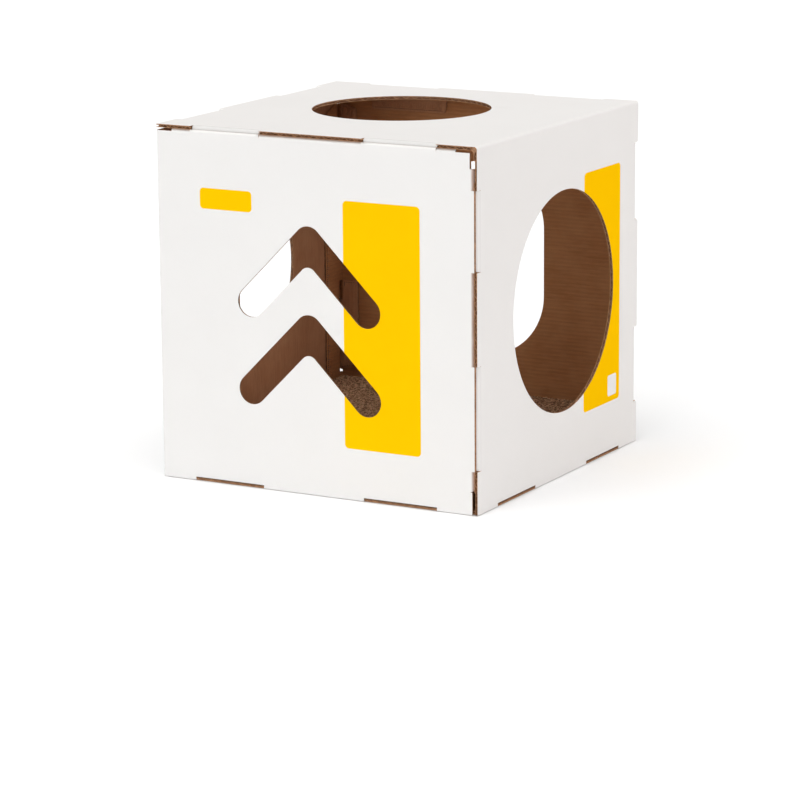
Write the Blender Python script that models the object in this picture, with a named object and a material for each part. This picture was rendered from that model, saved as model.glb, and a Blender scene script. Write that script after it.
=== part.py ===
"""Cardboard cat house: a 400 mm cube of single-wall corrugated board.

Three L-shaped sheets make the six walls: front + left, top + right and
back + bottom.  Two walls of one sheet meet at a fold.  Every other edge is a
lock: one wall has a wide flange creased inwards behind its neighbour, and the
neighbour has two tabs that go in through slots on that crease and turn down
behind the first wall.  The bottom has plain tabs that sit flush in notches of
the walls.  A thick corrugated scratch pad lies on the bottom.

Axes: +X right, +Y back (the arrow windows are in the front, at -Y), +Z up.
The origin is the middle of the underside.  All lengths below are in metres.
"""
import math

import bmesh
import bpy
from mathutils import Matrix, Vector

# ---------------------------------------------------------------- dimensions
SIDE = 0.400              # outer width, depth and height of the cube
T = 0.004                 # board thickness, one wall of C flute
GAP = 0.0003              # clearance between faces that touch
H = SIDE / 2              # outer half width
INNER = H - T             # inner face of a wall

R_IN = 0.0005             # inner radius of a crease
R_OUT = R_IN + T          # outer radius of a crease
CREASE = INNER - R_IN     # a crease's centre, from the wall that it leaves
TURN = INNER - GAP - R_OUT  # and from the wall that it then lies against
ARC_STEPS = 5
FOLD_ROUND = 0.0035       # rounding of the three folds between walls

FLANGE_DEPTH = 0.036      # from the inner face of its wall to its free edge
FLANGE_SLOT = 0.0085      # the slot reaches this far from the inner face
TOP_END = 0.024           # slant at each end of a flange under the lid
UPRIGHT_END = 0.014       # slant at each end of an upright flange
TAB_DEPTH = 0.025
TAB_TAPER = 0.004         # each side of a tab draws in by this at its tip
TAB_INSET = 0.001         # side play of a tab in its zone
TAB_LEAN = math.radians(3.0)
SHOULDER_NECK = 0.0065    # a shouldered tab is this long before it widens
BACK_SHOULDERS = (0.159, 0.375)  # heights up to which the left wall's back tabs widen
LID_SHOULDER = -0.0445    # x to which the lid's left back tab widens

# lock zones along the upright edges (heights) and along the top edges
FRONT_RIGHT = [(0.048, 0.163), (0.265, 0.353)]
BACK_UPRIGHT = [(0.048, 0.136), (0.263, 0.352)]
UPRIGHT_FLANGE = (0.025, 0.376)
FRONT_TOP = [(-0.156, -0.068), (0.060, 0.151)]
BACK_TOP = [(-0.151, -0.060), (0.068, 0.156)]
LEFT_TOP = [(-0.156, -0.068), (0.060, 0.151)]

# plain tabs of the bottom
FRONT_FOOT = [(-0.156, -0.068), (0.060, 0.150)]
SIDE_FOOT = [(-0.152, -0.062), (0.067, 0.152)]

# openings
RIGHT_HOLE = (0.010, 0.199, 0.1255)       # y, z, radius
LEFT_HOLE = (-0.014, 0.202, 0.102)
TOP_HOLE = (-0.0155, 0.028, 0.102)        # x, y, radius
BACK_PILL = (0.0045, 0.202, 0.0765, 0.116)  # x, z, half width, half height
ARROW_X = -0.0075         # middle of both arrow windows
ARROW_END_Z = (0.2100, 0.1118)            # height of their two end centres
ARROW_SPAN = 0.0726       # end centre to the middle line
ARROW_HALF = 0.0171       # half width of an arm
ARROW_INNER_R = 0.0105    # rounding of the inner corner

PAD_HALF = 0.186
PAD_TOP = 0.044

WHITE = (0.86, 0.85, 0.84, 1.0)
KRAFT = (0.40, 0.26, 0.16, 1.0)

for old in list(bpy.data.objects):
    bpy.data.objects.remove(old, do_unlink=True)


# ------------------------------------------------------------------ helpers
def material(name, colour, roughness):
    m = bpy.data.materials.new(name)
    m.use_nodes = True
    shader = m.node_tree.nodes["Principled BSDF"]
    shader.inputs["Base Color"].default_value = colour
    shader.inputs["Roughness"].default_value = roughness
    shader.inputs["Metallic"].default_value = 0.0
    return m


def finish(name, bm, colour, roughness, parent=None, pivot=(0, 0, 0)):
    """Turn a bmesh in world coordinates into an object whose origin is pivot."""
    bmesh.ops.recalc_face_normals(bm, faces=bm.faces)
    bmesh.ops.translate(bm, verts=bm.verts, vec=-Vector(pivot))
    mesh = bpy.data.meshes.new(name)
    bm.to_mesh(mesh)
    bm.free()
    obj = bpy.data.objects.new(name, mesh)
    bpy.context.collection.objects.link(obj)
    mesh.materials.append(material(name, colour, roughness))
    obj.location = pivot
    if parent is not None:
        obj.parent = parent
        obj.matrix_parent_inverse = Matrix.Translation(-parent.location)
    return obj


def circle(cx, cy, radius, count=72):
    return [(cx + radius * math.cos(2 * math.pi * i / count),
             cy + radius * math.sin(2 * math.pi * i / count)) for i in range(count)]


def arc(cx, cy, radius, start, end, steps):
    return [(cx + radius * math.cos(math.radians(start + (end - start) * i / steps)),
             cy + radius * math.sin(math.radians(start + (end - start) * i / steps)))
            for i in range(steps + 1)]


def pill(cx, cz, half_w, half_h, steps=20):
    rise = half_h - half_w
    return (arc(cx, cz + rise, half_w, 0, 180, steps)
            + arc(cx, cz - rise, half_w, 180, 360, steps))


def arrow(cx, end_z, span, half, inner_r):
    """An upward chevron with round ends and a round point."""
    apex = end_z + span
    pts = arc(cx + span, end_z, half, -135, 45, 10)
    pts += arc(cx, apex, half, 45, 135, 6)
    pts += arc(cx - span, end_z, half, 135, 315, 10)
    # the inner corner is rounded about a centre below it
    centre = apex - half * math.sqrt(2) - inner_r * math.sqrt(2)
    pts += arc(cx, centre, inner_r, 135, 45, 6)
    return pts


def plate(outline, holes, place, thickness):
    """A flat board: a 2-D outline with holes, filled and then extruded.

    place maps (u, v, depth) to a point; depth runs from 0 to thickness."""
    bm = bmesh.new()
    edges = []
    for loop in [outline] + list(holes):
        verts = [bm.verts.new(place(u, v, 0.0)) for u, v in loop]
        for a, b in zip(verts, verts[1:] + verts[:1]):
            edges.append(bm.edges.new((a, b)))
    bmesh.ops.triangle_fill(bm, use_beauty=True, use_dissolve=False, edges=edges)
    grown = bmesh.ops.extrude_face_region(bm, geom=list(bm.faces), use_keep_orig=True)
    top = [g for g in grown["geom"] if isinstance(g, bmesh.types.BMVert)]
    shift = Vector(place(0.0, 0.0, thickness)) - Vector(place(0.0, 0.0, 0.0))
    bmesh.ops.translate(bm, verts=top, vec=shift)
    return bm


def round_edge(bm, a, b, width, segments=4):
    """Round the straight edge that runs from point a to point b."""
    a, b = Vector(a), Vector(b)
    along = (b - a).normalized()
    chosen = []
    for e in bm.edges:
        ok = True
        for v in e.verts:
            rel = v.co - a
            if (rel - along * rel.dot(along)).length > 1e-6:
                ok = False
        if ok:
            chosen.append(e)
    bmesh.ops.bevel(bm, geom=chosen, offset=width, offset_type='OFFSET',
                    segments=segments, profile=0.5, affect='EDGES')


def bent_strip(place, stations, cols, present):
    """A creased board built as a grid of cells.

    stations: (outer point, inner point) in the plane across the crease.
    cols(i): positions along the crease at station i, one more than the cells.
    present(i, j): whether the cell between stations i, i+1 and columns j, j+1
    is board or open.  place maps (point, s) to world space."""
    bm = bmesh.new()
    cache = {}
    rows = len(stations) - 1
    count = len(cols(0)) - 1

    def vert(i, j, side):
        key = (i, j, side)
        if key not in cache:
            cache[key] = bm.verts.new(place(stations[i][side], cols(i)[j]))
        return cache[key]

    def there(i, j):
        return 0 <= i < rows and 0 <= j < count and present(i, j)

    for i in range(rows):
        for j in range(count):
            if not there(i, j):
                continue
            for side in (0, 1):
                bm.faces.new([vert(i, j, side), vert(i + 1, j, side),
                              vert(i + 1, j + 1, side), vert(i, j + 1, side)])
            for di, dj, p, q in ((-1, 0, (i, j), (i, j + 1)), (1, 0, (i + 1, j), (i + 1, j + 1)),
                                 (0, -1, (i, j), (i + 1, j)), (0, 1, (i, j + 1), (i + 1, j + 1))):
                if not there(i + di, j + dj):
                    bm.faces.new([vert(p[0], p[1], 0), vert(q[0], q[1], 0),
                                  vert(q[0], q[1], 1), vert(p[0], p[1], 1)])
    return bm


def crease_stations(lean):
    """Cross-section of a crease: (forward, sideways) pairs about its centre.

    'forward' points out through the wall that the board turns away from, and
    'sideways' out of the wall that it belongs to.  The board arrives along
    forward, turns through 90 degrees plus lean and leaves against sideways."""
    out = []
    total = math.pi / 2 + lean
    for k in range(ARC_STEPS + 1):
        a = total * k / ARC_STEPS
        out.append(((R_OUT * math.sin(a), R_OUT * math.cos(a)),
                    (R_IN * math.sin(a), R_IN * math.cos(a))))
    return out, total


def leave(stations, total, length):
    """The board's faces after the crease, length further on."""
    (of, os), (nf, ns) = stations[ARC_STEPS]
    df, ds = math.cos(total), -math.sin(total)
    return ((of + df * length, os + ds * length), (nf + df * length, ns + ds * length))


def make_tab(name, place, zone, parent, pivot, shoulder=None):
    """A lock tab.  shoulder is where it widens to once it is past its slot."""
    stations, total = crease_stations(TAB_LEAN)
    n = len(stations)
    ends = [SHOULDER_NECK - R_IN, TAB_DEPTH - R_IN] if shoulder else [TAB_DEPTH - R_IN]
    stations = stations + [leave(stations, total, reach) for reach in ends]
    lo, hi = zone[0] + TAB_INSET, zone[1] - TAB_INSET
    last = len(stations) - 1

    def cols(i):
        draw = TAB_TAPER if i == last else 0.0
        if shoulder:
            return [lo + draw, hi, shoulder - TAB_INSET - draw]
        return [lo + draw, hi - draw]

    bm = bent_strip(place, stations, cols, lambda i, j: j == 0 or i >= n)
    return finish(name, bm, KRAFT, 0.85, parent, pivot)


def make_flange(name, place, span, zones, slant, parent):
    """A wide flange with a slot on its crease at each lock zone.

    slant is how much its free edge is shorter than its crease, at each end."""
    stations, total = crease_stations(0.0)
    n = len(stations)
    for reach in (FLANGE_SLOT - R_IN, FLANGE_DEPTH - R_IN):
        stations = stations + [leave(stations[:n], total, reach)]
    marks = [span[0]] + [m for z in zones for m in z] + [span[1]]

    def cols(i):
        out = list(marks)
        grow = 0.0
        if i >= n:
            grow = slant * ((FLANGE_SLOT if i == n else FLANGE_DEPTH) / FLANGE_DEPTH)
        out[0] += grow
        out[-1] -= grow
        return out

    def present(i, j):
        return not (j % 2 == 1 and i < n)

    bm = bent_strip(place, stations, cols, present)
    return finish(name, bm, KRAFT, 0.85, parent)


# ------------------------------------------------------------------- panels
STOP = TURN - GAP                         # where a wall ends beside a crease
SET_BACK = H - STOP                       # from the outer face to that end
FINGER = H - GAP                          # where a wall's finger ends
RELIEF = 0.007                            # corner relief of the lock walls
FOOT_STOP = 0.1935                        # the front wall's end below its flange

# Front: between the left wall's fold and the right wall.
U0, U1 = -INNER + GAP, INNER + 0.0005
FLAT_TOP = SIDE - T                       # a wall's full height under the top
front_outline = [(U0, 0.0)]
for lo, hi in FRONT_FOOT:
    front_outline += [(lo - GAP, 0.0), (lo - GAP, T + GAP), (hi + GAP, T + GAP), (hi + GAP, 0.0)]
front_outline += [(FOOT_STOP, 0.0), (FOOT_STOP, UPRIGHT_FLANGE[0])]
z_mark = UPRIGHT_FLANGE[0]
for lo, hi in FRONT_RIGHT:
    front_outline += [(STOP, z_mark), (STOP, lo), (U1, lo), (U1, hi)]
    z_mark = hi
front_outline += [(STOP, z_mark), (STOP, UPRIGHT_FLANGE[1]),
                  (H - RELIEF, UPRIGHT_FLANGE[1]), (H - RELIEF, SIDE - RELIEF)]
TOP_FLANGE_FRONT = (-0.180, 0.174)
TOP_STOP = SIDE - SET_BACK
front_outline += [(TOP_FLANGE_FRONT[1], SIDE - RELIEF)]
x_mark = TOP_FLANGE_FRONT[1]
for lo, hi in reversed(FRONT_TOP):
    front_outline += [(x_mark, TOP_STOP), (hi, TOP_STOP), (hi, FLAT_TOP - GAP), (lo, FLAT_TOP - GAP)]
    x_mark = lo
front_outline += [(x_mark, TOP_STOP), (TOP_FLANGE_FRONT[0], TOP_STOP),
                  (TOP_FLANGE_FRONT[0], SIDE - RELIEF), (U0, SIDE - RELIEF)]


def clean(points):
    out = []
    for p in points:
        if not out or abs(p[0] - out[-1][0]) + abs(p[1] - out[-1][1]) > 1e-7:
            out.append(p)
    if abs(out[0][0] - out[-1][0]) + abs(out[0][1] - out[-1][1]) < 1e-7:
        out.pop()
    return out


house = bpy.data.objects.new("house_frame", None)
bpy.context.collection.objects.link(house)

arrows = [arrow(ARROW_X, z, ARROW_SPAN, ARROW_HALF, ARROW_INNER_R) for z in ARROW_END_Z]
bm = plate(clean(front_outline), arrows, lambda u, v, d: (u, -H + d, v), T)
front = finish("front_panel", bm, WHITE, 0.6, house)

# Left: carries the fold, so it runs on to the front face.
left_outline = [(-H, 0.0)]
for lo, hi in SIDE_FOOT:
    left_outline += [(lo - GAP, 0.0), (lo - GAP, T + GAP), (hi + GAP, T + GAP), (hi + GAP, 0.0)]
left_outline += [(FINGER, 0.0)]
for lo, hi in BACK_UPRIGHT:
    left_outline += [(FINGER, lo), (STOP, lo), (STOP, hi), (FINGER, hi)]
left_outline += [(FINGER, UPRIGHT_FLANGE[1]), (H - RELIEF, UPRIGHT_FLANGE[1]),
                 (H - RELIEF, SIDE - RELIEF)]
TOP_FLANGE_LEFT = (-0.178, 0.178)
left_outline += [(TOP_FLANGE_LEFT[1], SIDE - RELIEF)]
y_mark = TOP_FLANGE_LEFT[1]
for lo, hi in reversed(LEFT_TOP):
    left_outline += [(y_mark, TOP_STOP), (hi, TOP_STOP), (hi, FLAT_TOP - GAP), (lo, FLAT_TOP - GAP)]
    y_mark = lo
left_outline += [(y_mark, TOP_STOP), (TOP_FLANGE_LEFT[0], TOP_STOP),
                 (TOP_FLANGE_LEFT[0], SIDE - RELIEF), (-H, SIDE - RELIEF)]
bm = plate(clean(left_outline), [circle(*LEFT_HOLE)], lambda u, v, d: (-H + d, u, v), T)
round_edge(bm, (-H, -H, 0.0), (-H, -H, SIDE), FOLD_ROUND)
left = finish("left_panel", bm, WHITE, 0.6, house)

# Right: its upper end carries the fold of the top.
right_outline = [(-FINGER, 0.0)]
for lo, hi in SIDE_FOOT:
    right_outline += [(lo - GAP, 0.0), (lo - GAP, T + GAP), (hi + GAP, T + GAP), (hi + GAP, 0.0)]
right_outline += [(FINGER, 0.0)]
for lo, hi in BACK_UPRIGHT:
    right_outline += [(FINGER, lo), (STOP, lo), (STOP, hi), (FINGER, hi)]
right_outline += [(FINGER, SIDE), (-FINGER, SIDE)]
for lo, hi in reversed(FRONT_RIGHT):
    right_outline += [(-FINGER, hi), (-STOP, hi), (-STOP, lo), (-FINGER, lo)]
bm = plate(clean(right_outline), [circle(*RIGHT_HOLE)], lambda u, v, d: (H - d, u, v), T)
round_edge(bm, (H, -H, SIDE), (H, H, SIDE), FOLD_ROUND)
right = finish("right_panel", bm, WHITE, 0.6, house)

# Back: its lower end carries the fold of the bottom.
back_outline = [(-INNER + 0.001, 0.0), (INNER - 0.001, 0.0), (INNER - 0.001, UPRIGHT_FLANGE[0])]
z_mark = UPRIGHT_FLANGE[0]
for lo, hi in BACK_UPRIGHT:
    back_outline += [(STOP, z_mark), (STOP, lo), (INNER, lo), (INNER, hi)]
    z_mark = hi
back_outline += [(STOP, z_mark), (STOP, UPRIGHT_FLANGE[1]),
                 (H - RELIEF, UPRIGHT_FLANGE[1]), (H - RELIEF, SIDE - RELIEF)]
TOP_FLANGE_BACK = (-0.180, 0.174)
back_outline += [(TOP_FLANGE_BACK[1], SIDE - RELIEF)]
x_mark = TOP_FLANGE_BACK[1]
for lo, hi in reversed(BACK_TOP):
    back_outline += [(x_mark, TOP_STOP), (hi, TOP_STOP), (hi, FLAT_TOP - GAP), (lo, FLAT_TOP - GAP)]
    x_mark = lo
back_outline += [(x_mark, TOP_STOP), (TOP_FLANGE_BACK[0], TOP_STOP),
                 (TOP_FLANGE_BACK[0], SIDE - RELIEF), (-(H - RELIEF), SIDE - RELIEF),
                 (-(H - RELIEF), UPRIGHT_FLANGE[1])]
z_mark = UPRIGHT_FLANGE[1]
for lo, hi in reversed(BACK_UPRIGHT):
    back_outline += [(-STOP, z_mark), (-STOP, hi), (-INNER, hi), (-INNER, lo)]
    z_mark = lo
back_outline += [(-STOP, z_mark), (-STOP, UPRIGHT_FLANGE[0]), (-INNER + 0.001, UPRIGHT_FLANGE[0])]
bm = plate(clean(back_outline), [pill(*BACK_PILL)], lambda u, v, d: (u, H - d, v), T)
round_edge(bm, (-H, H, 0.0), (H, H, 0.0), FOLD_ROUND)
back = finish("back_panel", bm, WHITE, 0.6, house)

# Bottom: plain, with tabs that fill the walls' notches.
bottom_outline = [(-INNER + GAP, -INNER + GAP)]
for lo, hi in FRONT_FOOT:
    bottom_outline += [(lo, -INNER + GAP), (lo, -FINGER), (hi, -FINGER), (hi, -INNER + GAP)]
bottom_outline += [(INNER - GAP, -INNER + GAP)]
for lo, hi in SIDE_FOOT:
    bottom_outline += [(INNER - GAP, lo), (FINGER, lo), (FINGER, hi), (INNER - GAP, hi)]
bottom_outline += [(INNER - GAP, INNER - GAP), (-INNER + GAP, INNER - GAP)]
for lo, hi in reversed(SIDE_FOOT):
    bottom_outline += [(-INNER + GAP, hi), (-FINGER, hi), (-FINGER, lo), (-INNER + GAP, lo)]
bm = plate(clean(bottom_outline), [], lambda u, v, d: (u, v, d), T)
bottom = finish("bottom_panel", bm, WHITE, 0.6, house)

# Top: the lid.  It turns about the outer line of its fold with the right wall.
lid_axis = bpy.data.objects.new("lid_axis", None)
lid_axis.location = (H, 0.0, SIDE)
bpy.context.collection.objects.link(lid_axis)
top_outline = [(-FINGER, -FINGER)]
for lo, hi in FRONT_TOP:
    top_outline += [(lo, -FINGER), (lo, -STOP), (hi, -STOP), (hi, -FINGER)]
top_outline += [(INNER - GAP, -FINGER), (INNER - GAP, FINGER)]
for lo, hi in reversed(BACK_TOP):
    top_outline += [(hi, FINGER), (hi, STOP), (lo, STOP), (lo, FINGER)]
top_outline += [(-FINGER, FINGER)]
for lo, hi in reversed(LEFT_TOP):
    top_outline += [(-FINGER, hi), (-STOP, hi), (-STOP, lo), (-FINGER, lo)]
bm = plate(clean(top_outline), [circle(*TOP_HOLE)], lambda u, v, d: (u, v, SIDE - d), T)
top = finish("top_panel", bm, WHITE, 0.6, lid_axis)

# ------------------------------------------------- flanges, one to each lock
UP_TURN = SIDE - H + TURN                 # height of a top flange's crease


def at_right_of_front(p, s):              # board leaves the front, turns in
    return (TURN + p[0], -(CREASE + p[1]), s)


def at_top_of_front(p, s):
    return (s, -(CREASE + p[1]), UP_TURN + p[0])


def at_right_of_back(p, s):
    return (TURN + p[0], CREASE + p[1], s)


def at_left_of_back(p, s):
    return (-(TURN + p[0]), CREASE + p[1], s)


def at_top_of_back(p, s):
    return (s, CREASE + p[1], UP_TURN + p[0])


def at_top_of_left(p, s):
    return (-(CREASE + p[1]), s, UP_TURN + p[0])


make_flange("front_right_flange", at_right_of_front, UPRIGHT_FLANGE, FRONT_RIGHT, UPRIGHT_END, house)
make_flange("front_top_flange", at_top_of_front, TOP_FLANGE_FRONT, FRONT_TOP, TOP_END, house)
make_flange("back_right_flange", at_right_of_back, UPRIGHT_FLANGE, BACK_UPRIGHT, UPRIGHT_END, house)
make_flange("back_left_flange", at_left_of_back, UPRIGHT_FLANGE,
            [(BACK_UPRIGHT[0][0], BACK_SHOULDERS[0]), (BACK_UPRIGHT[1][0], 0.3715)], UPRIGHT_END, house)
make_flange("back_top_flange", at_top_of_back, TOP_FLANGE_BACK,
            [(BACK_TOP[0][0], LID_SHOULDER), BACK_TOP[1]], TOP_END, house)
make_flange("left_top_flange", at_top_of_left, TOP_FLANGE_LEFT, LEFT_TOP, TOP_END, house)


# ------------------------------------------------------ tabs, two to a lock
UP = SIDE - H + CREASE                    # height of the lid tabs' creases


def right_to_front(p, s):                 # board leaves the right wall forwards
    return (CREASE + p[1], -(TURN + p[0]), s)


def right_to_back(p, s):
    return (CREASE + p[1], TURN + p[0], s)


def left_to_back(p, s):
    return (-(CREASE + p[1]), TURN + p[0], s)


def top_to_front(p, s):
    return (s, -(TURN + p[0]), UP + p[1])


def top_to_back(p, s):
    return (s, TURN + p[0], UP + p[1])


def top_to_left(p, s):
    return (-(TURN + p[0]), s, UP + p[1])


def mid(zone):
    return (zone[0] + zone[1]) / 2


for label, zone in zip(("lower", "upper"), FRONT_RIGHT):
    make_tab("right_front_tab_" + label, right_to_front, zone, house, (CREASE, -TURN, mid(zone)))
for label, zone, shoulder in zip(("lower", "upper"), BACK_UPRIGHT, BACK_SHOULDERS):
    make_tab("right_back_tab_" + label, right_to_back, zone, house, (CREASE, TURN, mid(zone)))
    make_tab("left_back_tab_" + label, left_to_back, zone, house, (-CREASE, TURN, mid(zone)), shoulder)
for label, zone in zip(("left", "right"), FRONT_TOP):
    make_tab("top_front_tab_" + label, top_to_front, zone, lid_axis, (mid(zone), -TURN, UP))
for label, zone, shoulder in zip(("left", "right"), BACK_TOP, (LID_SHOULDER, None)):
    make_tab("top_back_tab_" + label, top_to_back, zone, lid_axis, (mid(zone), TURN, UP), shoulder)
for label, zone in zip(("front", "back"), LEFT_TOP):
    make_tab("top_left_tab_" + label, top_to_left, zone, lid_axis, (-TURN, mid(zone), UP))

# --------------------------------------------------------------- scratch pad
corner = 0.003
pad_outline = []
for sx, sy, a in ((1, 1, 0), (-1, 1, 90), (-1, -1, 180), (1, -1, 270)):
    pad_outline += arc(sx * (PAD_HALF - corner), sy * (PAD_HALF - corner), corner, a, a + 90, 3)
bm = plate(pad_outline, [], lambda u, v, d: (u, v, T + GAP + d), PAD_TOP - T - GAP)
finish("scratch_pad", bm, KRAFT, 0.95)
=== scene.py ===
"""Looks of the cardboard cat house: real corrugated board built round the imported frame.

Every board is made as board is made: a white-coated outer liner, a brown inner
liner and a fluted medium between them, open at every cut edge.  Lengths in the
helpers are in millimetres and become metres when a mesh is made.
"""
import math

import bpy
import numpy as np
from mathutils import Matrix, Vector
from mathutils.geometry import delaunay_2d_cdt


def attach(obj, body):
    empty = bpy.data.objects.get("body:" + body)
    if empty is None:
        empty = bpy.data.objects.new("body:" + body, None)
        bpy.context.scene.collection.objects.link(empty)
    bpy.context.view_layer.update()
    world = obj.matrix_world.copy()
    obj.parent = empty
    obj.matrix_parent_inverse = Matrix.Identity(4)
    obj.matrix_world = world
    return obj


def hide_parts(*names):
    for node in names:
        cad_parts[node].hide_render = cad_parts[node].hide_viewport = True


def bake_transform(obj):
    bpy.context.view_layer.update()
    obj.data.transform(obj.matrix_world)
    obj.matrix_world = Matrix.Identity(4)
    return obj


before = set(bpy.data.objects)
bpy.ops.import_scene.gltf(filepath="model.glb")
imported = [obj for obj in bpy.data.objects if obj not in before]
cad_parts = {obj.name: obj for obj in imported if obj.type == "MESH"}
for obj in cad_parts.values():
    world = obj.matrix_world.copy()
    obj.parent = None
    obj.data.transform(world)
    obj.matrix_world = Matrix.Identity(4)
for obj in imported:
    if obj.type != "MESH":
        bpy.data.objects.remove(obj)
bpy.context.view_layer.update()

# ------------------------------------------------------------------ dimensions
SIDE = 400.0
H = 200.0
T = 4.0
GAP = 0.3
INNER = H - T
R_IN = 0.5
R_OUT = R_IN + T
TURN = INNER - GAP - R_OUT
CREASE = INNER - R_IN
STOP = TURN - GAP
FINGER = H - GAP
RELIEF = 7.0
FOLD_R = 3.5
TOP_STOP = SIDE - (H - STOP)
FLAT_TOP = SIDE - T
LINER = 0.38              # liner thickness
ARC = 5.0                 # nominal developed length of a crease
PITCH = 9.46              # flute pitch
RIDGE = PITCH / 2         # spacing of the faint ridges on the brown side

FRONT_RIGHT = [(48.0, 163.0), (265.0, 353.0)]
BACK_UPRIGHT = [(48.0, 136.0), (263.0, 352.0)]
UPRIGHT = (25.0, 376.0)
FRONT_TOP = [(-156.0, -68.0), (60.0, 151.0)]
BACK_TOP = [(-151.0, -60.0), (68.0, 156.0)]
LEFT_TOP = [(-156.0, -68.0), (60.0, 151.0)]
FRONT_FOOT = [(-156.0, -68.0), (60.0, 150.0)]
SIDE_FOOT = [(-152.0, -62.0), (67.0, 152.0)]
RIGHT_HOLE = (10.0, 199.0, 125.5)
LEFT_HOLE = (-14.0, 202.0, 102.0)
TOP_HOLE = (-15.5, 28.0, 102.0)
BACK_PILL = (4.5, 202.0, 76.5, 116.0)
ARROW_X = -7.5
ARROW_END_Z = (210.0, 111.8)
ARROW_SPAN, ARROW_HALF, ARROW_INNER = 72.6, 17.1, 10.5
PAD_HALF, PAD_TOP = 186.0, 44.0
FOOT_STOP = 193.5         # the front wall's end below its flange
NECK = 6.5                # a shouldered tab widens this far past its crease
LEFT_SLOTS = [(44.5, 159.0), (263.0, 374.3)]
BACK_SLOTS = [(-151.0, -44.5), (68.0, 156.0)]
CORNER_CUT = 373.4        # where the back left corner's relief starts

# the fourth material index is the painted shade of the hollows behind cut edges
OUT, IN, EDGE, HOLLOW_SHADE = 0, 1, 2, 3


# --------------------------------------------------------------- 2-D outlines
def circle(cx, cy, r, n=144):
    return [(cx + r * math.cos(2 * math.pi * i / n), cy + r * math.sin(2 * math.pi * i / n))
            for i in range(n)]


def arc(cx, cy, r, a0, a1, n):
    return [(cx + r * math.cos(math.radians(a0 + (a1 - a0) * i / n)),
             cy + r * math.sin(math.radians(a0 + (a1 - a0) * i / n))) for i in range(n + 1)]


def pill(cx, cz, hw, hh, n=48):
    up = hh - hw
    return arc(cx, cz + up, hw, 0, 180, n) + arc(cx, cz - up, hw, 180, 360, n)


def arrow(cx, end_z):
    apex = end_z + ARROW_SPAN
    pts = arc(cx + ARROW_SPAN, end_z, ARROW_HALF, -135, 45, 24)
    pts += arc(cx, apex, ARROW_HALF, 45, 135, 12)
    pts += arc(cx - ARROW_SPAN, end_z, ARROW_HALF, 135, 315, 24)
    low = apex - (ARROW_HALF + ARROW_INNER) * math.sqrt(2)
    pts += arc(cx, low, ARROW_INNER, 135, 45, 12)
    return pts


def tidy(points):
    out = []
    for p in points:
        if not out or abs(p[0] - out[-1][0]) + abs(p[1] - out[-1][1]) > 1e-5:
            out.append((float(p[0]), float(p[1])))
    if abs(out[0][0] - out[-1][0]) + abs(out[0][1] - out[-1][1]) < 1e-5:
        out.pop()
    return out


def inside(loops, pts):
    """Even-odd test of points (n, 2) against all loops together."""
    hit = np.zeros(len(pts), bool)
    x, y = pts[:, 0], pts[:, 1]
    for loop in loops:
        a = np.array(loop)
        b = np.roll(a, -1, axis=0)
        for (x0, y0), (x1, y1) in zip(a, b):
            if y0 == y1:
                continue
            cross = ((y0 > y) != (y1 > y)) & (x < (x1 - x0) * (y - y0) / (y1 - y0) + x0)
            hit ^= cross
    return hit


def distance(segments, pts):
    """Shortest distance of each point to a set of segments (m, 4)."""
    if not len(segments):
        return np.full(len(pts), 1e3)
    best = np.full(len(pts), 1e9)
    for x0, y0, x1, y1 in segments:
        dx, dy = x1 - x0, y1 - y0
        t = np.clip(((pts[:, 0] - x0) * dx + (pts[:, 1] - y0) * dy) / (dx * dx + dy * dy), 0, 1)
        best = np.minimum(best, (pts[:, 0] - x0 - t * dx) ** 2 + (pts[:, 1] - y0 - t * dy) ** 2)
    return np.sqrt(best)


def pinched(place, specs):
    """The mapping with the board pressed thinner near some edges.

    specs: (segments, near amount, near width, far amount, far width)."""
    if not specs:
        return place

    def press(u, v, d):
        u, v, d = np.broadcast_arrays(np.asarray(u, float), np.asarray(v, float), np.asarray(d, float))
        pts = np.stack([u, v], 1)
        near, far = np.zeros(len(u)), np.zeros(len(u))
        for segments, amount, width, deep, reach in specs:
            dist = distance(segments, pts)
            x = np.clip(1 - dist / width, 0, 1)
            near = np.maximum(near, amount * (1 - np.sqrt(1 - 0.97 * x ** 2)))
            far = np.maximum(far, deep * np.clip(1 - dist / reach, 0, 1) ** 2)
        k = np.maximum((T - near - far) / T, 0.24)
        return place(u, v, near + k * d)
    return press


def loop_segments(loop):
    return [(a[0], a[1], b[0], b[1]) for a, b in zip(loop, loop[1:] + loop[:1])]


def cut_segments(loops, joins):
    """The segments that are cut edges, not ones where the board runs on."""
    out = []
    for loop in loops:
        for (x0, y0), (x1, y1) in zip(loop, loop[1:] + loop[:1]):
            if not any(joined((x0, y0), (x1, y1), j) for j in joins):
                out.append((x0, y0, x1, y1))
    return out


def joined(a, b, j):
    k, value = j
    return abs(a[k] - value) < 1e-3 and abs(b[k] - value) < 1e-3


def smooth_noise(seed, positions, scale, amp):
    """A smooth 1-D noise: value noise with cosine steps."""
    r = np.random.default_rng(seed)
    table = r.uniform(-1, 1, 512)
    p = np.asarray(positions, float) / scale + 200.0
    i = np.floor(p).astype(int)
    f = p - i
    f = f * f * (3 - 2 * f)
    return amp * (table[i % 512] * (1 - f) + table[(i + 1) % 512] * f)


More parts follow.
